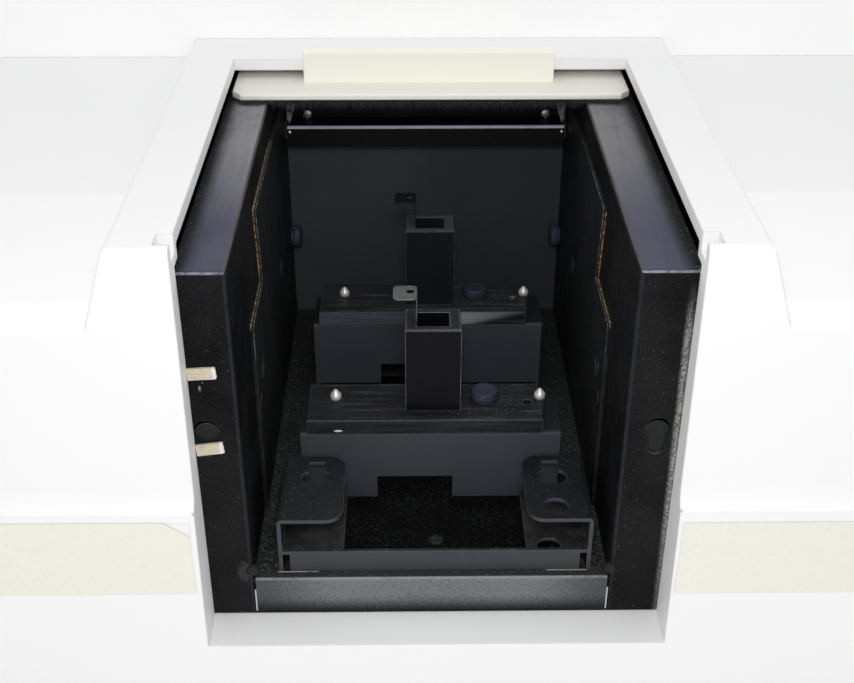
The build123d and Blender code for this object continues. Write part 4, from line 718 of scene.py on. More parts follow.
def rounded_bar(x, section, sweep, wobble=0.0, seed=1, exponent=0.5):
    """A bar along X whose section is a squared-off ellipse, closed at both ends.

    The section's Y and Z are half sizes times the signed power of cosine and sine; wobble moves each point
    by a smoothed random amount.
    """
    (y, half_y), (z, half_z) = section
    angle = angles(sweep)
    edge = np.stack((power(np.cos(angle), exponent), power(np.sin(angle), exponent)), -1)
    rough = np.random.default_rng(seed).normal(0, wobble, (len(x), sweep, 1))
    rough = (rough + np.roll(rough, 1, 0) + np.roll(rough, 1, 1)) / 3
    grid = spread(x[:, None], y + half_y * edge[..., 0], z + half_z * edge[..., 1])
    grid[..., 1:] += rough * edge
    return closed(grid)


def hairs(roots, leans, lengths, width, droop):
    """Tapered hairs with three sides, one grid each, closed to a point at both ends.

    A point stands at root plus lean times length times s, less droop times length times s squared in Z;
    the hair's width shrinks with s to a fifth.
    """
    s = np.concatenate(((0.0,), np.linspace(0, 1, 4), (1.0,)))[None, :, None, None]
    thick = width * (1 - 0.8 * s)
    thick[:, (0, -1)] = 0.0
    angle = angles(3)
    side = np.stack((np.cos(angle), np.sin(angle) * 0.7, np.sin(angle) * 0.7), -1)[None]
    length = lengths[:, None, None, None]
    line = roots[:, None, None] + leans[:, None, None] * length * s
    sag = np.array((0.0, 0.0, 1.0)) * droop * length * s**2
    return line - sag + thick * side


# Settings


def colour_setting(name, description, default):
    about = {"name": name, "description": description, "default": default}
    return bpy.props.FloatVectorProperty(**about, subtype="COLOR", min=0.0, max=1.0)


def size_setting(name, description, default, low=0.0, **more):
    return bpy.props.FloatProperty(name=name, description=description, default=default, min=low, **more)


def count_setting(name, description, default, low=0):
    return bpy.props.IntProperty(name=name, description=description, default=default, min=low)


def turn_setting(name, description, degrees):
    about = {"name": name, "description": description, "default": math.radians(degrees)}
    return bpy.props.FloatProperty(**about, subtype="ANGLE")


class SPECTRO_PG_colours(bpy.types.PropertyGroup):
    """Colours of the outer finishes."""

    case: colour_setting("Case", "White enamel of the covers and panels", (0.925, 0.925, 0.93))
    strip: colour_setting("Strips", "Beige vinyl strips on the lower front panel", (0.87, 0.86, 0.768))
    lid: colour_setting("Lid", "Enamel of the sliding lid", (0.84, 0.82, 0.755))
    handle: colour_setting("Handle", "Cream moulding of the lid's handle", (0.98, 0.965, 0.87))


class SPECTRO_PG_details(bpy.types.PropertyGroup):
    """Sizes of the fine pieces."""

    knurls: count_setting("Knurls", "Flutes round each knurled head", 44, 8)
    knurl_depth: size_setting("Knurl Depth", "Depth of the flutes, in millimetres", 0.22)
    bristles: count_setting("Bristles", "Loose fibres along the felt under the lid", 2600)
    bristle_length: size_setting("Bristle Length", "Longest fibre, in millimetres", 6.2)
    lint: count_setting("Lint", "Short fibres of dust on the compartment's floor", 260)
    pad_fill: size_setting("Pad Fill", "How tightly the foam is filled", 0.9, max=1.0, subtype="FACTOR")


class SPECTRO_PG_stage(bpy.types.PropertyGroup):
    """Camera and light."""

    lens: size_setting("Lens", "Focal length on a 36 mm sensor, in millimetres", 53.27, 10.0)
    pitch: turn_setting("Pitch", "How far the camera looks down", 31.558)
    yaw: turn_setting("Yaw", "How far the camera looks to the right of straight back", 0.8228)
    roll: turn_setting("Roll", "How far the camera leans", 0.142)
    eye: bpy.props.FloatVectorProperty(
        name="Eye",
        description="Where the camera stands",
        default=(0.089435, -0.760552, 0.481798),
        subtype="TRANSLATION",
        unit="LENGTH",
    )
    ambient: size_setting("Ambient", "Strength of the even light from all round", 0.8)
    key: size_setting("Key", "Share of the light that comes from the lamp by the camera", 0.33)


# Operators


class SPECTRO_OT_case(bpy.types.Operator):
    """Finish the covers, panels and feet, and lay the two strips on the lower front panel"""

    bl_idname = "spectro.case"
    bl_label = "Case and Strips"

    def execute(self, context):
        colours = context.scene.spectro_colours
        clad(enamel("case_enamel", colours.case), "upper_cover", "lower_front_panel", "side_skirts")
        # The rear cover's enamel is the case white made 6% lighter: painted light.
        clad(enamel("rear_enamel_lit", tint(colours.case, 1.06)), "rear_top_cover")
        clad(enamel("back_panel_enamel", (0.6, 0.6, 0.57), 0.02, 0.45), "rear_panel")
        clad(brushed("zinc_plate", (0.55, 0.56, 0.56), (1, 0.04, 1), 0.4), "chassis_tray")
        clad(moulded("foot_rubber", (0.03, 0.03, 0.03), 0.8), "feet", "base_isolators")
        vinyl = vinyl_strip("strip_vinyl", colours.strip)
        left = self.strip("strip_left", (-580.0, -103.6), (-146.4, -108.1), vinyl, tear=(11.0, 7.4))
        right = self.strip("strip_right", (103.2, 380.0), (-148.0, -109.8), vinyl)
        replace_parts(left, "front_strips")
        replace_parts(right, "front_strips")
        self.residue(moulded("torn_backing", tint(colours.case, 0.97), 0.7))
        sides = ((CASE_LEFT, -SURROUND_HALF), (SURROUND_HALF, CASE_RIGHT))
        # A bead a little whiter than the case fills the gap between the covers: painted light over the
        # gap's shade.
        bead_enamel = moulded("pale_gap_bead", tint(colours.case, 1.05), 0.7)
        grid_mesh("pale_gap_bead", [self.pale_gap_bead(*ends) for ends in sides], bead_enamel)
        return {"FINISHED"}

    def pale_gap_bead(self, start, end):
        """A white bead in the gap between the covers, hiding the gap's shade as painted light: a small
        squared-off section carried along X.
        """
        section = ((self.face(SEAM) + 0.45, 0.56), (SEAM, 0.8))
        return rounded_bar(np.linspace(start, end, 60), section, 16, exponent=0.4)

    @staticmethod
    def face(z):
        """Y of the leaning panel's face: its foot's, and back by the lean's tangent times the height."""
        foot_y, foot_z, lean = -22.8, -228.0, 2.2
        return foot_y + (z - foot_z) * math.tan(math.radians(lean))

    def strip(self, name, x, z, material, tear=None):
        """A vinyl strip: points spread between the ends in X and the edges in Z, on the leaning face.

        The end beside the opening wanders a little; a tear takes a corner off it, rising along a ragged
        line from the full height to a drop below the top, and lifts the vinyl slightly there.
        """
        outer, inner = 0.24, 0.02
        wild = np.random.default_rng(7)
        across = np.linspace(0, 1, 41)[None]
        along = (1 - (1 - np.linspace(0, 1, 161)) ** 1.6)[:, None]
        height = z[0] + (z[1] - z[0]) * across
        wander = 0.15 * np.sin(across * 9.0) + wild.normal(0, 0.03, across.shape)
        (start, end), lift = x, 0.0
        if tear:
            above = np.clip((height - (z[1] - tear[1])) / tear[1], 0, 1)
            end = end + wander - 0.3 * across - tear[0] * above**0.93
            end = end - above * wild.normal(0, 0.1, across.shape)
            lift = 0.015 * above
        else:
            start = start - wander - 0.5 * (1 - across)
            along = 1 - along[::-1]
        place = start + (end - start) * along
        face = self.face(height) - lift * np.exp(-((end - place) / 6.0) ** 2)
        front = spread(place, face - outer, height)
        return grid_mesh(name, slab(front, spread(place, face - inner, height)), material, sharp=50.0)

    def residue(self, material):
        """A rough film of paper and glue left where the strip's corner tore away, with ragged sides."""
        wild = np.random.default_rng(11)
        u = np.linspace(0, 1, 46)[:, None]
        v = np.linspace(0, 1, 18)[None]
        height = -108.3 - 7.0 * v
        left = -114.2 + 9.6 * v + wild.normal(0, 0.18, v.shape)
        right = -103.4 + wild.normal(0, 0.12, v.shape) + 0.2 * np.sin(v * 12)
        place = left + (right - left) * u
        inside = np.sin(np.pi * np.clip(u, 0.02, 0.98))
        thick = 0.05 + 0.012 * abs(wild.normal(0, 0.5, place.shape)) * inside
        face = self.face(height)
        front = spread(place, face - 0.02 - thick, height)
        return grid_mesh("strip_residue", slab(front, spread(place, face - 0.005, height)), material)


class SPECTRO_OT_back(bpy.types.Operator):
    """Add the rear panel's screws, the inlet's blades and the data connector's contacts"""

    bl_idname = "spectro.back"
    bl_label = "Rear Fittings"

    def execute(self, context):
        nickel = brushed("screw_nickel", (0.6, 0.6, 0.58), roughness=0.3, streak=0.15, scale=900.0)
        columns = (CASE_LEFT, -460.0, -300.0, -100.0, 100.0, 260.0, CASE_RIGHT)
        places = [(x, PANEL_BACK, z) for z in (118.0, -216.0) for x in columns]
        grid_mesh("panel_screws", [screw_head(place, "Y", 3.6, 2.2) for place in places], nickel)
        brass = brushed("contact_brass", (0.62, 0.48, 0.24), (1, 0.1, 1), 0.3, streak=0.1, scale=700.0)
        grid_mesh("inlet_blades", self.blades(), brass)
        section = ((PANEL_BACK + 2.6, 1.3), (SOCKET_DROP, 2.7))
        insert = rounded_bar(np.linspace(189.2, 230.8, 60), section, 28)
        grid_mesh("connector_insert", insert, moulded("connector_insert", (0.02, 0.03, 0.05), 0.5))
        grid_mesh("connector_contacts", self.contacts(), brass)
        return {"FINISHED"}

    @staticmethod
    def blades():
        """Three flat blades: a squared-off ellipse in X and Z carried along Y, drawn in at the tip."""
        angle = angles(24)
        y = np.array((657.6, 657.6, 664.0, 670.0, 673.6, 674.8, 675.2, 675.2))[:, None]
        size = np.array((0.0, 1.0, 1.0, 1.0, 1.0, 0.9, 0.6, 0.0))[:, None]
        blade = spread(1.15 * size * power(np.cos(angle), 0.4), y, 2.15 * size * power(np.sin(angle), 0.4))
        return [blade + (x, 0.0, z) for x, z in ((293.0, -152.0), (300.0, -148.0), (307.0, -152.0))]

    @staticmethod
    def contacts():
        """Two staggered rows of round-ended pins standing out of the connector's insert."""
        profile = ((0, 4.6), (0.28, 4.5), (0.42, 4.2), (0.45, 3.8), (0.45, 1.6), (0, 1.6))
        places = [(x, 1.2) for x in np.linspace(192.0, 228.0, 13)]
        places += [(x, -1.2) for x in np.linspace(193.5, 226.5, 12)]
        return [turned(profile, (x, PANEL_BACK + 0.4, SOCKET_DROP + z), "Y", 12) for x, z in places]


class SPECTRO_OT_lid(bpy.types.Operator):
    """Finish the sliding lid and its handle, and lay the ragged felt under its front edge"""

    bl_idname = "spectro.lid"
    bl_label = "Lid and Felt"

    def execute(self, context):
        colours = context.scene.spectro_colours
        # The lid's forward faces are 14% lighter: a painted highlight.
        clad(enamel("lid_enamel", colours.lid, 0.05, 0.34, tint(colours.lid, 1.14)), "lid_plate")
        clad(moulded("handle_cream", colours.handle, 0.5), "lid_handle")
        felt = pressed_felt("felt_black", (0.014, 0.014, 0.014))
        section = ((184.2, 2.9), (1.1, 0.78))
        body = rounded_bar(np.linspace(-93.8, 93.8, 420), section, 24, 0.16, 3)
        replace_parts(grid_mesh("felt_strip", body, felt, "lid", 60.0), "lid_felt")
        grid_mesh("felt_fringe", self.fringe(context.scene.spectro_details), felt, "lid")
        return {"FINISHED"}

    @staticmethod
    def fringe(details):
        """Loose fibres rooted along the felt's front: flat over the rails, and hanging between them.

        Those at the corners lean inwards, so that they clear the cover when the lid closes.
        """
        wild = np.random.default_rng(21)
        count = details.bristles
        x = wild.uniform(-95.5, 95.5, count)
        corner = wild.uniform(0, 1, count) < 0.16
        x = np.where(corner, np.sign(x) * wild.uniform(92.0, 97.5, count), x)
        y = np.where(corner, wild.uniform(180.0, 184.0, count), wild.uniform(179.2, 180.8, count))
        over_rail = (x < WALL_MIDDLE - WALL_HALF + 2) | (x > WALL_MIDDLE + WALL_HALF - 2)
        z = np.where(over_rail, wild.uniform(0.7, 1.5, count), wild.uniform(0.4, 1.6, count))
        length = details.bristle_length * wild.uniform(0.3, 1.0, count)
        drop = np.where(over_rail, wild.uniform(-0.1, 0.15, count), -wild.uniform(0.1, 0.7, count))
        aside = wild.normal(0, 0.45, count)
        aside = np.where(abs(x) > 88.0, -np.sign(x) * abs(aside) * 0.6, aside)
        lean = np.stack((aside, -wild.uniform(0.4, 1.0, count), drop), -1)
        lean /= np.linalg.norm(lean, axis=1, keepdims=True)
        return hairs(np.stack((x, y, z), -1), lean, length, 0.15, 0.02)


class SPECTRO_OT_compartment(bpy.types.Operator):
    """Finish the sample compartment, with its raw edges, screws, eyelets and dust"""

    bl_idname = "spectro.compartment"
    bl_label = "Compartment"

    def execute(self, context):
        clad(rail_enamel("rail_enamel"), "rail_frame_left", "rail_frame_right")
        clad(lip_enamel("lip_enamel"), "front_lip")
        clad(ledge_enamel("ledge_enamel"), "back_ledge")
        clad(back_enamel("back_wall_enamel"), "back_wall")
        liner = flat_black("liner_enamel", (0.012, 0.0125, 0.0135), dust=0.6, haze=1.5)
        clad(liner, "side_liners", "lid_guides")
        plate = flat_black("plate_enamel", (0.014, 0.0165, 0.0168), dust=0.8, edge=0.6)
        # Keyhole plates near black: a painted shadow, seen through the gap over each new back.
        clad(flat_black("keyhole_painted_shadow", (0.0015, 0.0015, 0.0017), dust=0.1, edge=0.0), "keyhole_plates")
        grid_mesh("keyhole_backs", self.keyhole_backs(), plate)
        floor = flat_black("floor_enamel", (0.014, 0.016, 0.015), dust=1.3, gloss=0.1, haze=1.5, grit=0.75)
        clad(floor, "compartment_floor")
        clad(bracket_enamel("bracket_enamel"), "accessory_bracket")
        clad(clear_glass("window_silica", (0.05, 0.055, 0.06), 0.2), "beam_windows")
        self.fasteners()
        raw = bare_edge("liner_raw_edge")
        for side, name in ((-1, "liner_edge_left"), (1, "liner_edge_right")):
            grid_mesh(name, self.liner_edge(side), raw)
        black = flat_black("eyelet_black", (0.0025, 0.0025, 0.003), edge=0.6)
        grid_mesh("wall_eyelets", self.eyelets(), black)
        grid_mesh("gap_slivers", self.slivers(), enamel("gap_white", (0.75, 0.8, 0.83)))
        self.dust(context.scene.spectro_details)
        return {"FINISHED"}

    @staticmethod
    def fasteners():
        """Wall screws, ledge rivets, the casting's screw and plugs in the lip's notches."""
        steel = brushed("screw_steel", (0.5, 0.5, 0.48), roughness=0.3, streak=0.15, scale=900.0)
        heads = [screw_head((x, WALL_DEPTH - 1.6, -30.6), "Y", 3.0, -1.6) for x in (-68.5, 65.5)]
        grid_mesh("wall_screws", heads, steel)
        rivet = ((0, -0.9), (0.7, -0.8), (1.1, -0.5), (1.25, 0.0), (0, 0.0))
        grid_mesh("ledge_rivets", [turned(rivet, (x, 230.4, -36.4), "Y", 24) for x in (-77.6, 73.6)], steel)
        dull = brushed("screw_dull", (0.035, 0.04, 0.036), (1, 1, 1), 0.5, 0.0, 0.6, 400.0)
        grid_mesh("casting_screw", screw_head((1.5, 72.5, -196.0), "Z", 4.0, 1.6), dull)
        plug = ((0, -1.1), (1.4, -1.05), (2.3, -0.8), (2.7, -0.3), (2.8, 0.3), (2.8, 1.4), (0, 1.4))
        ends = [(WALL_MIDDLE + side * WALL_HALF, 0.5, -151.5) for side in (-1, 1)]
        matt = flat_black("plug_black", (0.014, 0.014, 0.013))
        grid_mesh("notch_plugs", [turned(plug, end, "Y", 36) for end in ends], matt)

    @staticmethod
    def eyelets():
        """A raised ring on each side wall."""
        ring = ((0, 0.02), (2.3, 0.02), (2.7, 0.1), (3.3, 0.34), (3.6, 0.3), (3.75, -0.1), (0, -0.1))
        seats = ((-1, (-80.5, 61.0, -100.6)), (1, (76.5, 63.4, -101.3)))
        return [turned([(r, -side * h) for r, h in ring], seat, "X", 40) for side, seat in seats]

    @staticmethod
    def keyhole_backs():
        """Plates close behind the keyholes, a little low, so that a dark gap shows over each: through it
        the near-black keyhole plates stand in as a painted shadow.

        The outline is a circle above, and a squared-off ellipse of the same width below. Four rows run from
        the middle of the front round the rim to the middle of the back.
        """
        radius, foot, drop = 5.25, 11.6, 4.0
        front, back = 1.05, 1.55
        aside, height = WALL_HALF + 13.9, -76.4
        cos, sin = np.cos(angles(72)), np.sin(angles(72))
        high = sin > 0
        wide = radius * np.where(high, cos, power(cos, 0.35))
        tall = np.where(high, radius * sin, -foot * abs(sin) ** 0.35)
        rows = np.array(((0.0, front), (1.0, front), (1.0, back), (0.0, back)))
        size, y = rows[:, :1], rows[:, 1:]
        plate = spread(wide * size, y, (tall + drop) * size - drop)
        return [plate + (WALL_MIDDLE + side * aside, 0.0, height) for side in (-1, 1)]

    @staticmethod
    def liner_edge(side):
        """A rough band over the liner's cut edge.

        A line of points in Y and Z is spread evenly by its length; the band's face stands off it by a small
        ragged amount along the line's normal, and its back is sunk into the plate.
        """
        wild = np.random.default_rng(31 + side)
        start = 168.0 if side < 0 else 132.0
        line = np.array(((start, -15.8), (88.0, -15.8), (95.0, -55.5), (52.5, -55.5), (52.5, -72.0)))
        run = np.concatenate(((0.0,), np.cumsum(np.linalg.norm(np.diff(line, axis=0), axis=1))))
        s = np.linspace(0, run[-1], 330)
        y, z = np.interp(s, run, line[:, 0]), np.interp(s, run, line[:, 1])
        tangent = np.stack((np.gradient(y), np.gradient(z)), -1)
        tangent /= np.linalg.norm(tangent, axis=1, keepdims=True)
        across, down = tangent[:, 1:], -tangent[:, :1]
        wall = WALL_MIDDLE + side * (WALL_HALF - 0.02)
        inner = WALL_MIDDLE + side * (WALL_HALF - 1.56)
        v = np.linspace(0, 1, 7)[None]
        x = wall + (inner - wall) * (v + wild.normal(0, 0.05, (len(s), 1)) * v)
        proud = 0.06 + 0.05 * abs(wild.normal(0, 1, x.shape))
        y, z = y[:, None], z[:, None]
        front = spread(x, y - across * proud, z - down * proud)
        return slab(front, spread(x, y + across * 0.5, z + down * 0.5))

    @staticmethod
    def slivers():
        """Thin upright slivers of the white case seen through the gaps at the front lip's ends."""
        z = np.linspace(-175.6, -163.0, 14)[:, None]
        fronts = [spread(np.linspace(x, x + 0.7, 3)[None], 0.45, z) for x in (-81.95, 77.25)]
        return [slab(front, front + (0.0, 0.5, 0.0)) for front in fronts]

    @staticmethod
    def dust(details):
        """Short curled fibres lying along both sides of the floor."""
        wild = np.random.default_rng(41)
        count = details.lint
        side = wild.choice((-1, 1), count)
        x = WALL_MIDDLE + side * wild.uniform(62.0, 79.0, count)
        y = wild.uniform(8.0, 235.0, count)
        turn = wild.uniform(0, 2 * math.pi, count)
        lean = np.stack((np.cos(turn), np.sin(turn), wild.uniform(0.0, 0.35, count)), -1)
        length = wild.uniform(0.4, 2.2, count)
        pale = Finish("lint_grey", 0.9, gloss=0.1)
        pale.set("Base Color", pale.blend(pale.noise(500.0), (0.12, 0.12, 0.11), (0.42, 0.42, 0.4)))
        roots = np.stack((x, y, np.full(count, FLOOR + 0.06)), -1)
        points = hairs(roots, lean, length, 0.07, 0.3)
        points[..., 2] = np.maximum(points[..., 2], FLOOR + 0.01)
        return grid_mesh("floor_lint", points, pale.material)


class SPECTRO_OT_cell_blocks(bpy.types.Operator):
    """Finish the cell blocks and make their knurled screws and locating pins"""

    bl_idname = "spectro.cell_blocks"
    bl_label = "Cell Blocks"

    def execute(self, context):
        details = context.scene.spectro_details
        # Tops darker than the fronts: painted shade. The two pedestals take one grey paint in two tones:
        # painted light.
        dim_top = (0.014, 0.015, 0.016)
        clad(flat_black("pedestal_near", (0.05, 0.057, 0.068), dim_top, 0.2), "pedestal_front")
        clad(flat_black("pedestal_far", (0.056, 0.066, 0.078), dim_top, 0.15), "pedestal_rear")
        clad(base_black("base_near", (0.0135, 0.0145, 0.017)), "cell_base_front")
        # The far plate's front carries a painted reflection.
        clad(base_black("base_far", (0.025, 0.026, 0.029), True), "cell_base_rear")
        clad(anodised("holder_near", (0.0028, 0.003, 0.0042), 0.36, 0.0, 0.1, 0.35), "cell_holder_front")
        clad(anodised("holder_far", (0.009, 0.0105, 0.012), 0.36, 0.0, 0.14, 0.25, 0.4), "cell_holder_rear")
        clad(brushed("clip_steel", (0.15, 0.155, 0.16), (1, 1, 0.05), 0.32), "spring_clip_front")
        # The rear clip is a near-black copy of the clip steel: a painted reflection of the dark wall behind
        # it.
        clad(brushed("clip_steel_shaded", (0.016, 0.017, 0.018), (1, 1, 0.05), 0.4, 0.5), "spring_clip_rear")
        slate = flat_black("knob_slate", (0.021, 0.032, 0.055), (0.026, 0.036, 0.057), 0.7, 0.5, 0.25)
        for place, beam in (("front", FRONT_BEAM), ("rear", REAR_BEAM)):
            head = self.knob(details, (24.0, beam, BASE_TOP + 0.05), "Z", 1, 14.0)
            piece = grid_mesh(f"knurled_screw_{place}", head, slate, f"{place}_screw")
            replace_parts(piece, f"thumbscrew_{place}")
        for side, place in ((-1, "left"), (1, "right")):
            seat = WALL_MIDDLE + side * (WALL_HALF - 1.55)
            head = self.knob(details, (seat, WALL_DEPTH - 7.0, -104.0), "X", -side, 1.5)
            piece = grid_mesh(f"knurled_knob_{place}", head, slate, f"{place}_knob")
            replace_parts(piece, f"side_knob_{place}")
        pin = ((0, 5.74), (0.4, 5.72), (0.75, 5.6), (1.3, 4.86), (2.0, 3.96), (2.6, 3.1), (2.66, 2.8),
               (2.66, 0.3), (2.66, -0.4), (0, -0.4))
        seats = [(x, beam, BASE_TOP) for x in (-46.8, 50.5) for beam in (FRONT_BEAM, REAR_BEAM)]
        grid_mesh("pin_tips", [turned(pin, seat, "Z", 40) for seat in seats], bright_pin("pin_steel"))
        return {"FINISHED"}

    @staticmethod
    def knob(details, seat, axis, way, shank):
        """A knurled head with a dished top and a plain collar, on a plain shank.

        The profile's third column is the share of the flutes' depth that each row takes.
        """
        profile = np.array((
            (0, 5.25, 0), (2.4, 5.25, 0), (3.2, 5.3, 0), (3.9, 5.5, 0), (4.6, 5.6, 0), (5.4, 5.55, 0),
            (5.95, 5.3, 0), (6.25, 4.9, 0.3), (6.4, 4.5, 1), (6.4, 3.2, 1), (6.4, 1.9, 1), (6.3, 1.5, 0.4),
            (5.9, 1.25, 0), (5.6, 1.0, 0), (5.6, 0.0, 0), (2.45, 0.0, 0), (2.45, -shank, 0), (0, -shank, 0),
        ))
        profile[:, 1] *= way
        depth = details.knurl_depth * profile[:, 2:]
        return turned(profile[:, :2], seat, axis, details.knurls * 6, details.knurls, depth)


class SPECTRO_OT_foam(bpy.types.Operator):
    """Make the two foam pads on the left front flange"""

    bl_idname = "spectro.foam"
    bl_label = "Foam Pads"

    def execute(self, context):
        foam = open_foam("foam_cream", (0.72, 0.64, 0.5))
        places = (("foam_pad_upper", (-95.4, -45.6), 0.06, 5), ("foam_pad_lower", (-95.2, -83.1), 0.13, 6))
        for name, centre, slant, seed in places:
            piece = grid_mesh(name, self.pad(centre, slant, seed), foam, sharp=70.0)
            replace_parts(piece, "foam_pads")
        return {"FINISHED"}

    @staticmethod
    def pad(centre, slant, seed):
        """A cut strip of foam: a squared-off ball with flat back, one end torn and crumbling.

        With u from pole to pole and v round it, X is the half length times the signed 0.07 power of cosine
        of u. Y is the half thickness times the signed 0.2 power of cosine of v, and Z the half width times
        the signed 0.1 power of sine of v, both times the 0.07 power of sine of u.
        """
        half_long, half_thick, half_wide = 5.7, 0.66, 2.65
        wild = np.random.default_rng(seed)
        u, v = np.linspace(0, math.pi, 61)[:, None], angles(64)
        cos_u, sin_u = np.cos(u), np.sin(u)
        long = half_long * power(cos_u, 0.07)
        ring = abs(sin_u) ** 0.07
        thick = half_thick * ring * power(np.cos(v), 0.2)
        wide = half_wide * ring * power(np.sin(v), 0.1)
        inside = (sin_u > 0.01) * 1.0
        torn = wild.normal(0, 0.16, (61, 64)) * np.clip(cos_u * 4 - 2.6, 0, 1) * inside
        soft = wild.normal(0, 0.035, (61, 64)) * inside
        along = long + torn
        x = centre[0] + along * math.cos(slant) - wide * math.sin(slant)
        z = centre[1] + along * math.sin(slant) + (wide + soft) * math.cos(slant)
        return spread(x, -0.69 + thick + soft, z)


class SPECTRO_OT_inner_units(bpy.types.Operator):
    """Finish the units that the covers hide"""

    bl_idname = "spectro.inner_units"
    bl_label = "Inner Units"

    def execute(self, context):
        casting = cast("bench_casting", (0.009, 0.0105, 0.0095), 0.6, 0.0, gloss=0.08, dust=1.0)
        clad(casting, "optical_base")
        inner = anodised("inner_black", (0.03, 0.03, 0.03))
        clad(inner, "monochromator_housing", "monochromator_cover", "detector_housing", "source_housing")
        clad(inner, "mirror_mounts", "grating_turret", "slit_disc", "beam_chopper", "filter_wheel")
        clad(cast("motor_case", (0.25, 0.25, 0.26), 0.4, 0.9, 300.0, 0.0001), "stepper_motors")
        mirror = brushed("mirror_coat", (0.9, 0.9, 0.9), roughness=0.1, streak=0.02)
        clad(mirror, "mirrors", "grating", "source_mirror")
        clad(clear_glass("lamp_glass", (0.9, 0.92, 0.93)), "source_lamps", "photomultiplier")
        clad(solder_mask("board_mask", (0.03, 0.16, 0.07)), "control_board")
        clad(cast("supply_core", (0.12, 0.12, 0.13), 0.5, 0.6), "power_supply")
        black = moulded("moulded_black", (0.03, 0.03, 0.03), 0.4)
        clad(black, "fan_frame", "fan_rotor", "mains_inlet", "rocker_frame", "power_rocker")
        clad(brushed("nickel_shell", (0.62, 0.62, 0.6), (1, 0.1, 1), 0.3), "data_connector")
        return {"FINISHED"}


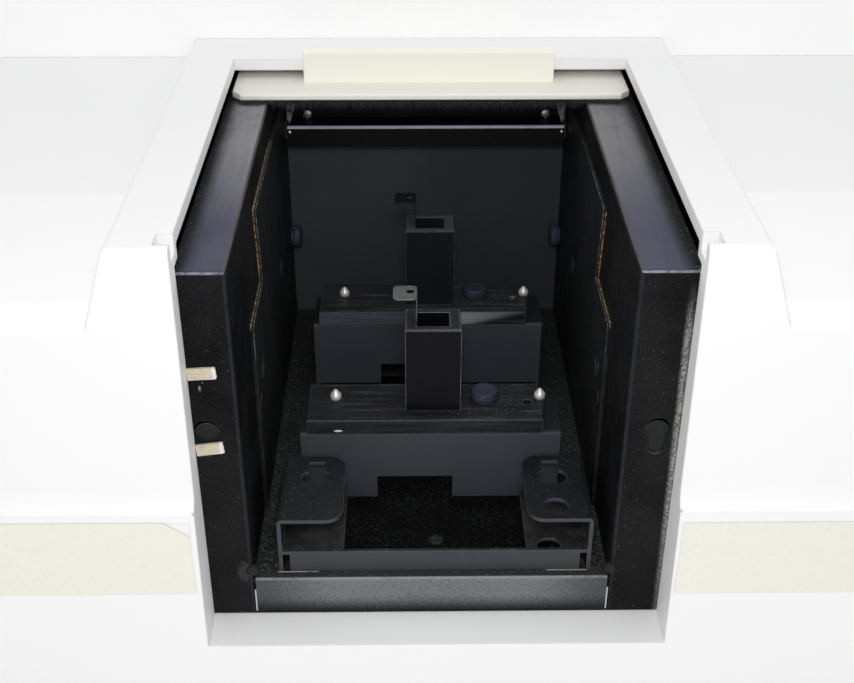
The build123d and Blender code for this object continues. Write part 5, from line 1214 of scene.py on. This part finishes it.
class SPECTRO_OT_stage(bpy.types.Operator):
    """Make the floor, the light and the camera"""

    bl_idname = "spectro.stage"
    bl_label = "Stage"

    def execute(self, context):
        self.lay_floor(context.scene)
        self.fill_room(context.scene)
        self.hang_lamp(context.scene)
        self.place_camera(context.scene)
        context.scene.view_settings.view_transform = "Standard"
        return {"FINISHED"}

    @staticmethod
    def lay_floor(scene):
        """A pale floor that goes over to plain white away from the instrument."""
        reach = 9.0
        corners = [(-reach, -reach, 0), (reach, -reach, 0), (reach, reach, 0), (-reach, reach, 0)]
        mesh = bpy.data.meshes.new("floor")
        mesh.from_pydata(corners, [], [(0, 1, 2, 3)])
        floor = bpy.data.objects.new("floor", mesh)
        scene.collection.objects.link(floor)
        f = Finish("floor_paper", 0.9)
        f.set("Base Color", (0.93, 0.93, 0.93))
        far = f.add("VectorMath", {0: f.place}, "Value", operation="LENGTH").step(0.6, 1.5)
        paper = Output(f, f.shader.outputs[0])
        f.surface("Material Output", f.seen() * far, paper, f.add("Emission", {"Color": WHITE}))
        mesh.materials.append(f.material)

    @staticmethod
    def fill_room(scene):
        """Even light from all round; the camera itself sees plain white there."""
        world = bpy.data.worlds.new("soft_room")
        world.use_nodes = True
        scene.world = world
        room = Nodes(world.node_tree)
        even = room.tree.nodes["Background"]
        room.feed(even.inputs["Color"], WHITE)
        room.feed(even.inputs["Strength"], scene.spectro_stage.ambient)
        white = room.add("Background", {"Color": WHITE})
        room.surface("World Output", room.seen(), Output(room, even.outputs[0]), white)

    @staticmethod
    def hang_lamp(scene):
        """A small round lamp just over the camera."""
        lamp = bpy.data.lights.new("key_lamp", "AREA")
        lamp.shape = "DISK"
        lamp.size = 0.09
        at = np.array((0.095, -0.732, 0.560))
        aim = from_opening((0, 0, -60))
        away = np.linalg.norm(aim - at)
        lamp.energy = scene.spectro_stage.key * 4 * math.pi * away**2 * math.pi / 4
        key = bpy.data.objects.new("key_lamp", lamp)
        scene.collection.objects.link(key)
        key.location = at
        key.rotation_mode = "QUATERNION"
        key.rotation_quaternion = Vector(aim - at).to_track_quat("-Z", "Y")

    @staticmethod
    def place_camera(scene):
        """A camera turned by yaw, pitch and roll, in that order."""
        settings = scene.spectro_stage
        data = bpy.data.cameras.new("camera")
        data.lens = settings.lens
        data.sensor_width = SENSOR
        camera = bpy.data.objects.new("camera", data)
        scene.collection.objects.link(camera)
        scene.camera = camera
        down, side, lean = settings.pitch, settings.yaw, settings.roll
        level = math.cos(down)
        forward = np.array((math.sin(side) * level, math.cos(side) * level, -math.sin(down)))
        right = np.array((math.cos(side), -math.sin(side), 0.0))
        up = np.cross(right, forward)
        across = math.cos(lean) * right + math.sin(lean) * up
        upright = -math.sin(lean) * right + math.cos(lean) * up
        matrix = np.eye(4)
        matrix[:3] = np.stack((across, upright, -forward, np.array(settings.eye)), 1)
        camera.matrix_world = Matrix(matrix.tolist())


class SPECTRO_PT_panel(bpy.types.Panel):
    """Lists the operators and their settings"""

    bl_idname = "SPECTRO_PT_panel"
    bl_label = "Spectrophotometer"
    bl_space_type = "VIEW_3D"
    bl_region_type = "UI"
    bl_category = "Instrument"

    def draw(self, context):
        scene = context.scene
        for step in STEPS:
            self.layout.operator(step.bl_idname)
        for group in (scene.spectro_colours, scene.spectro_details, scene.spectro_stage):
            for name in group.__annotations__:
                self.layout.prop(group, name)


STEPS = (
    SPECTRO_OT_case,
    SPECTRO_OT_back,
    SPECTRO_OT_lid,
    SPECTRO_OT_compartment,
    SPECTRO_OT_cell_blocks,
    SPECTRO_OT_foam,
    SPECTRO_OT_inner_units,
    SPECTRO_OT_stage,
)
CLASSES = (SPECTRO_PG_colours, SPECTRO_PG_details, SPECTRO_PG_stage, *STEPS, SPECTRO_PT_panel)


def register():
    for cls in CLASSES:
        bpy.utils.register_class(cls)
    bpy.types.Scene.spectro_colours = bpy.props.PointerProperty(type=SPECTRO_PG_colours)
    bpy.types.Scene.spectro_details = bpy.props.PointerProperty(type=SPECTRO_PG_details)
    bpy.types.Scene.spectro_stage = bpy.props.PointerProperty(type=SPECTRO_PG_stage)


def unregister():
    del bpy.types.Scene.spectro_stage
    del bpy.types.Scene.spectro_details
    del bpy.types.Scene.spectro_colours
    for cls in reversed(CLASSES):
        bpy.utils.unregister_class(cls)


def main():
    """Registers the add-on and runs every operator."""
    register()
    for step in STEPS:
        family, name = step.bl_idname.split(".")
        getattr(getattr(bpy.ops, family), name)()


if __name__ == "__main__":
    main()
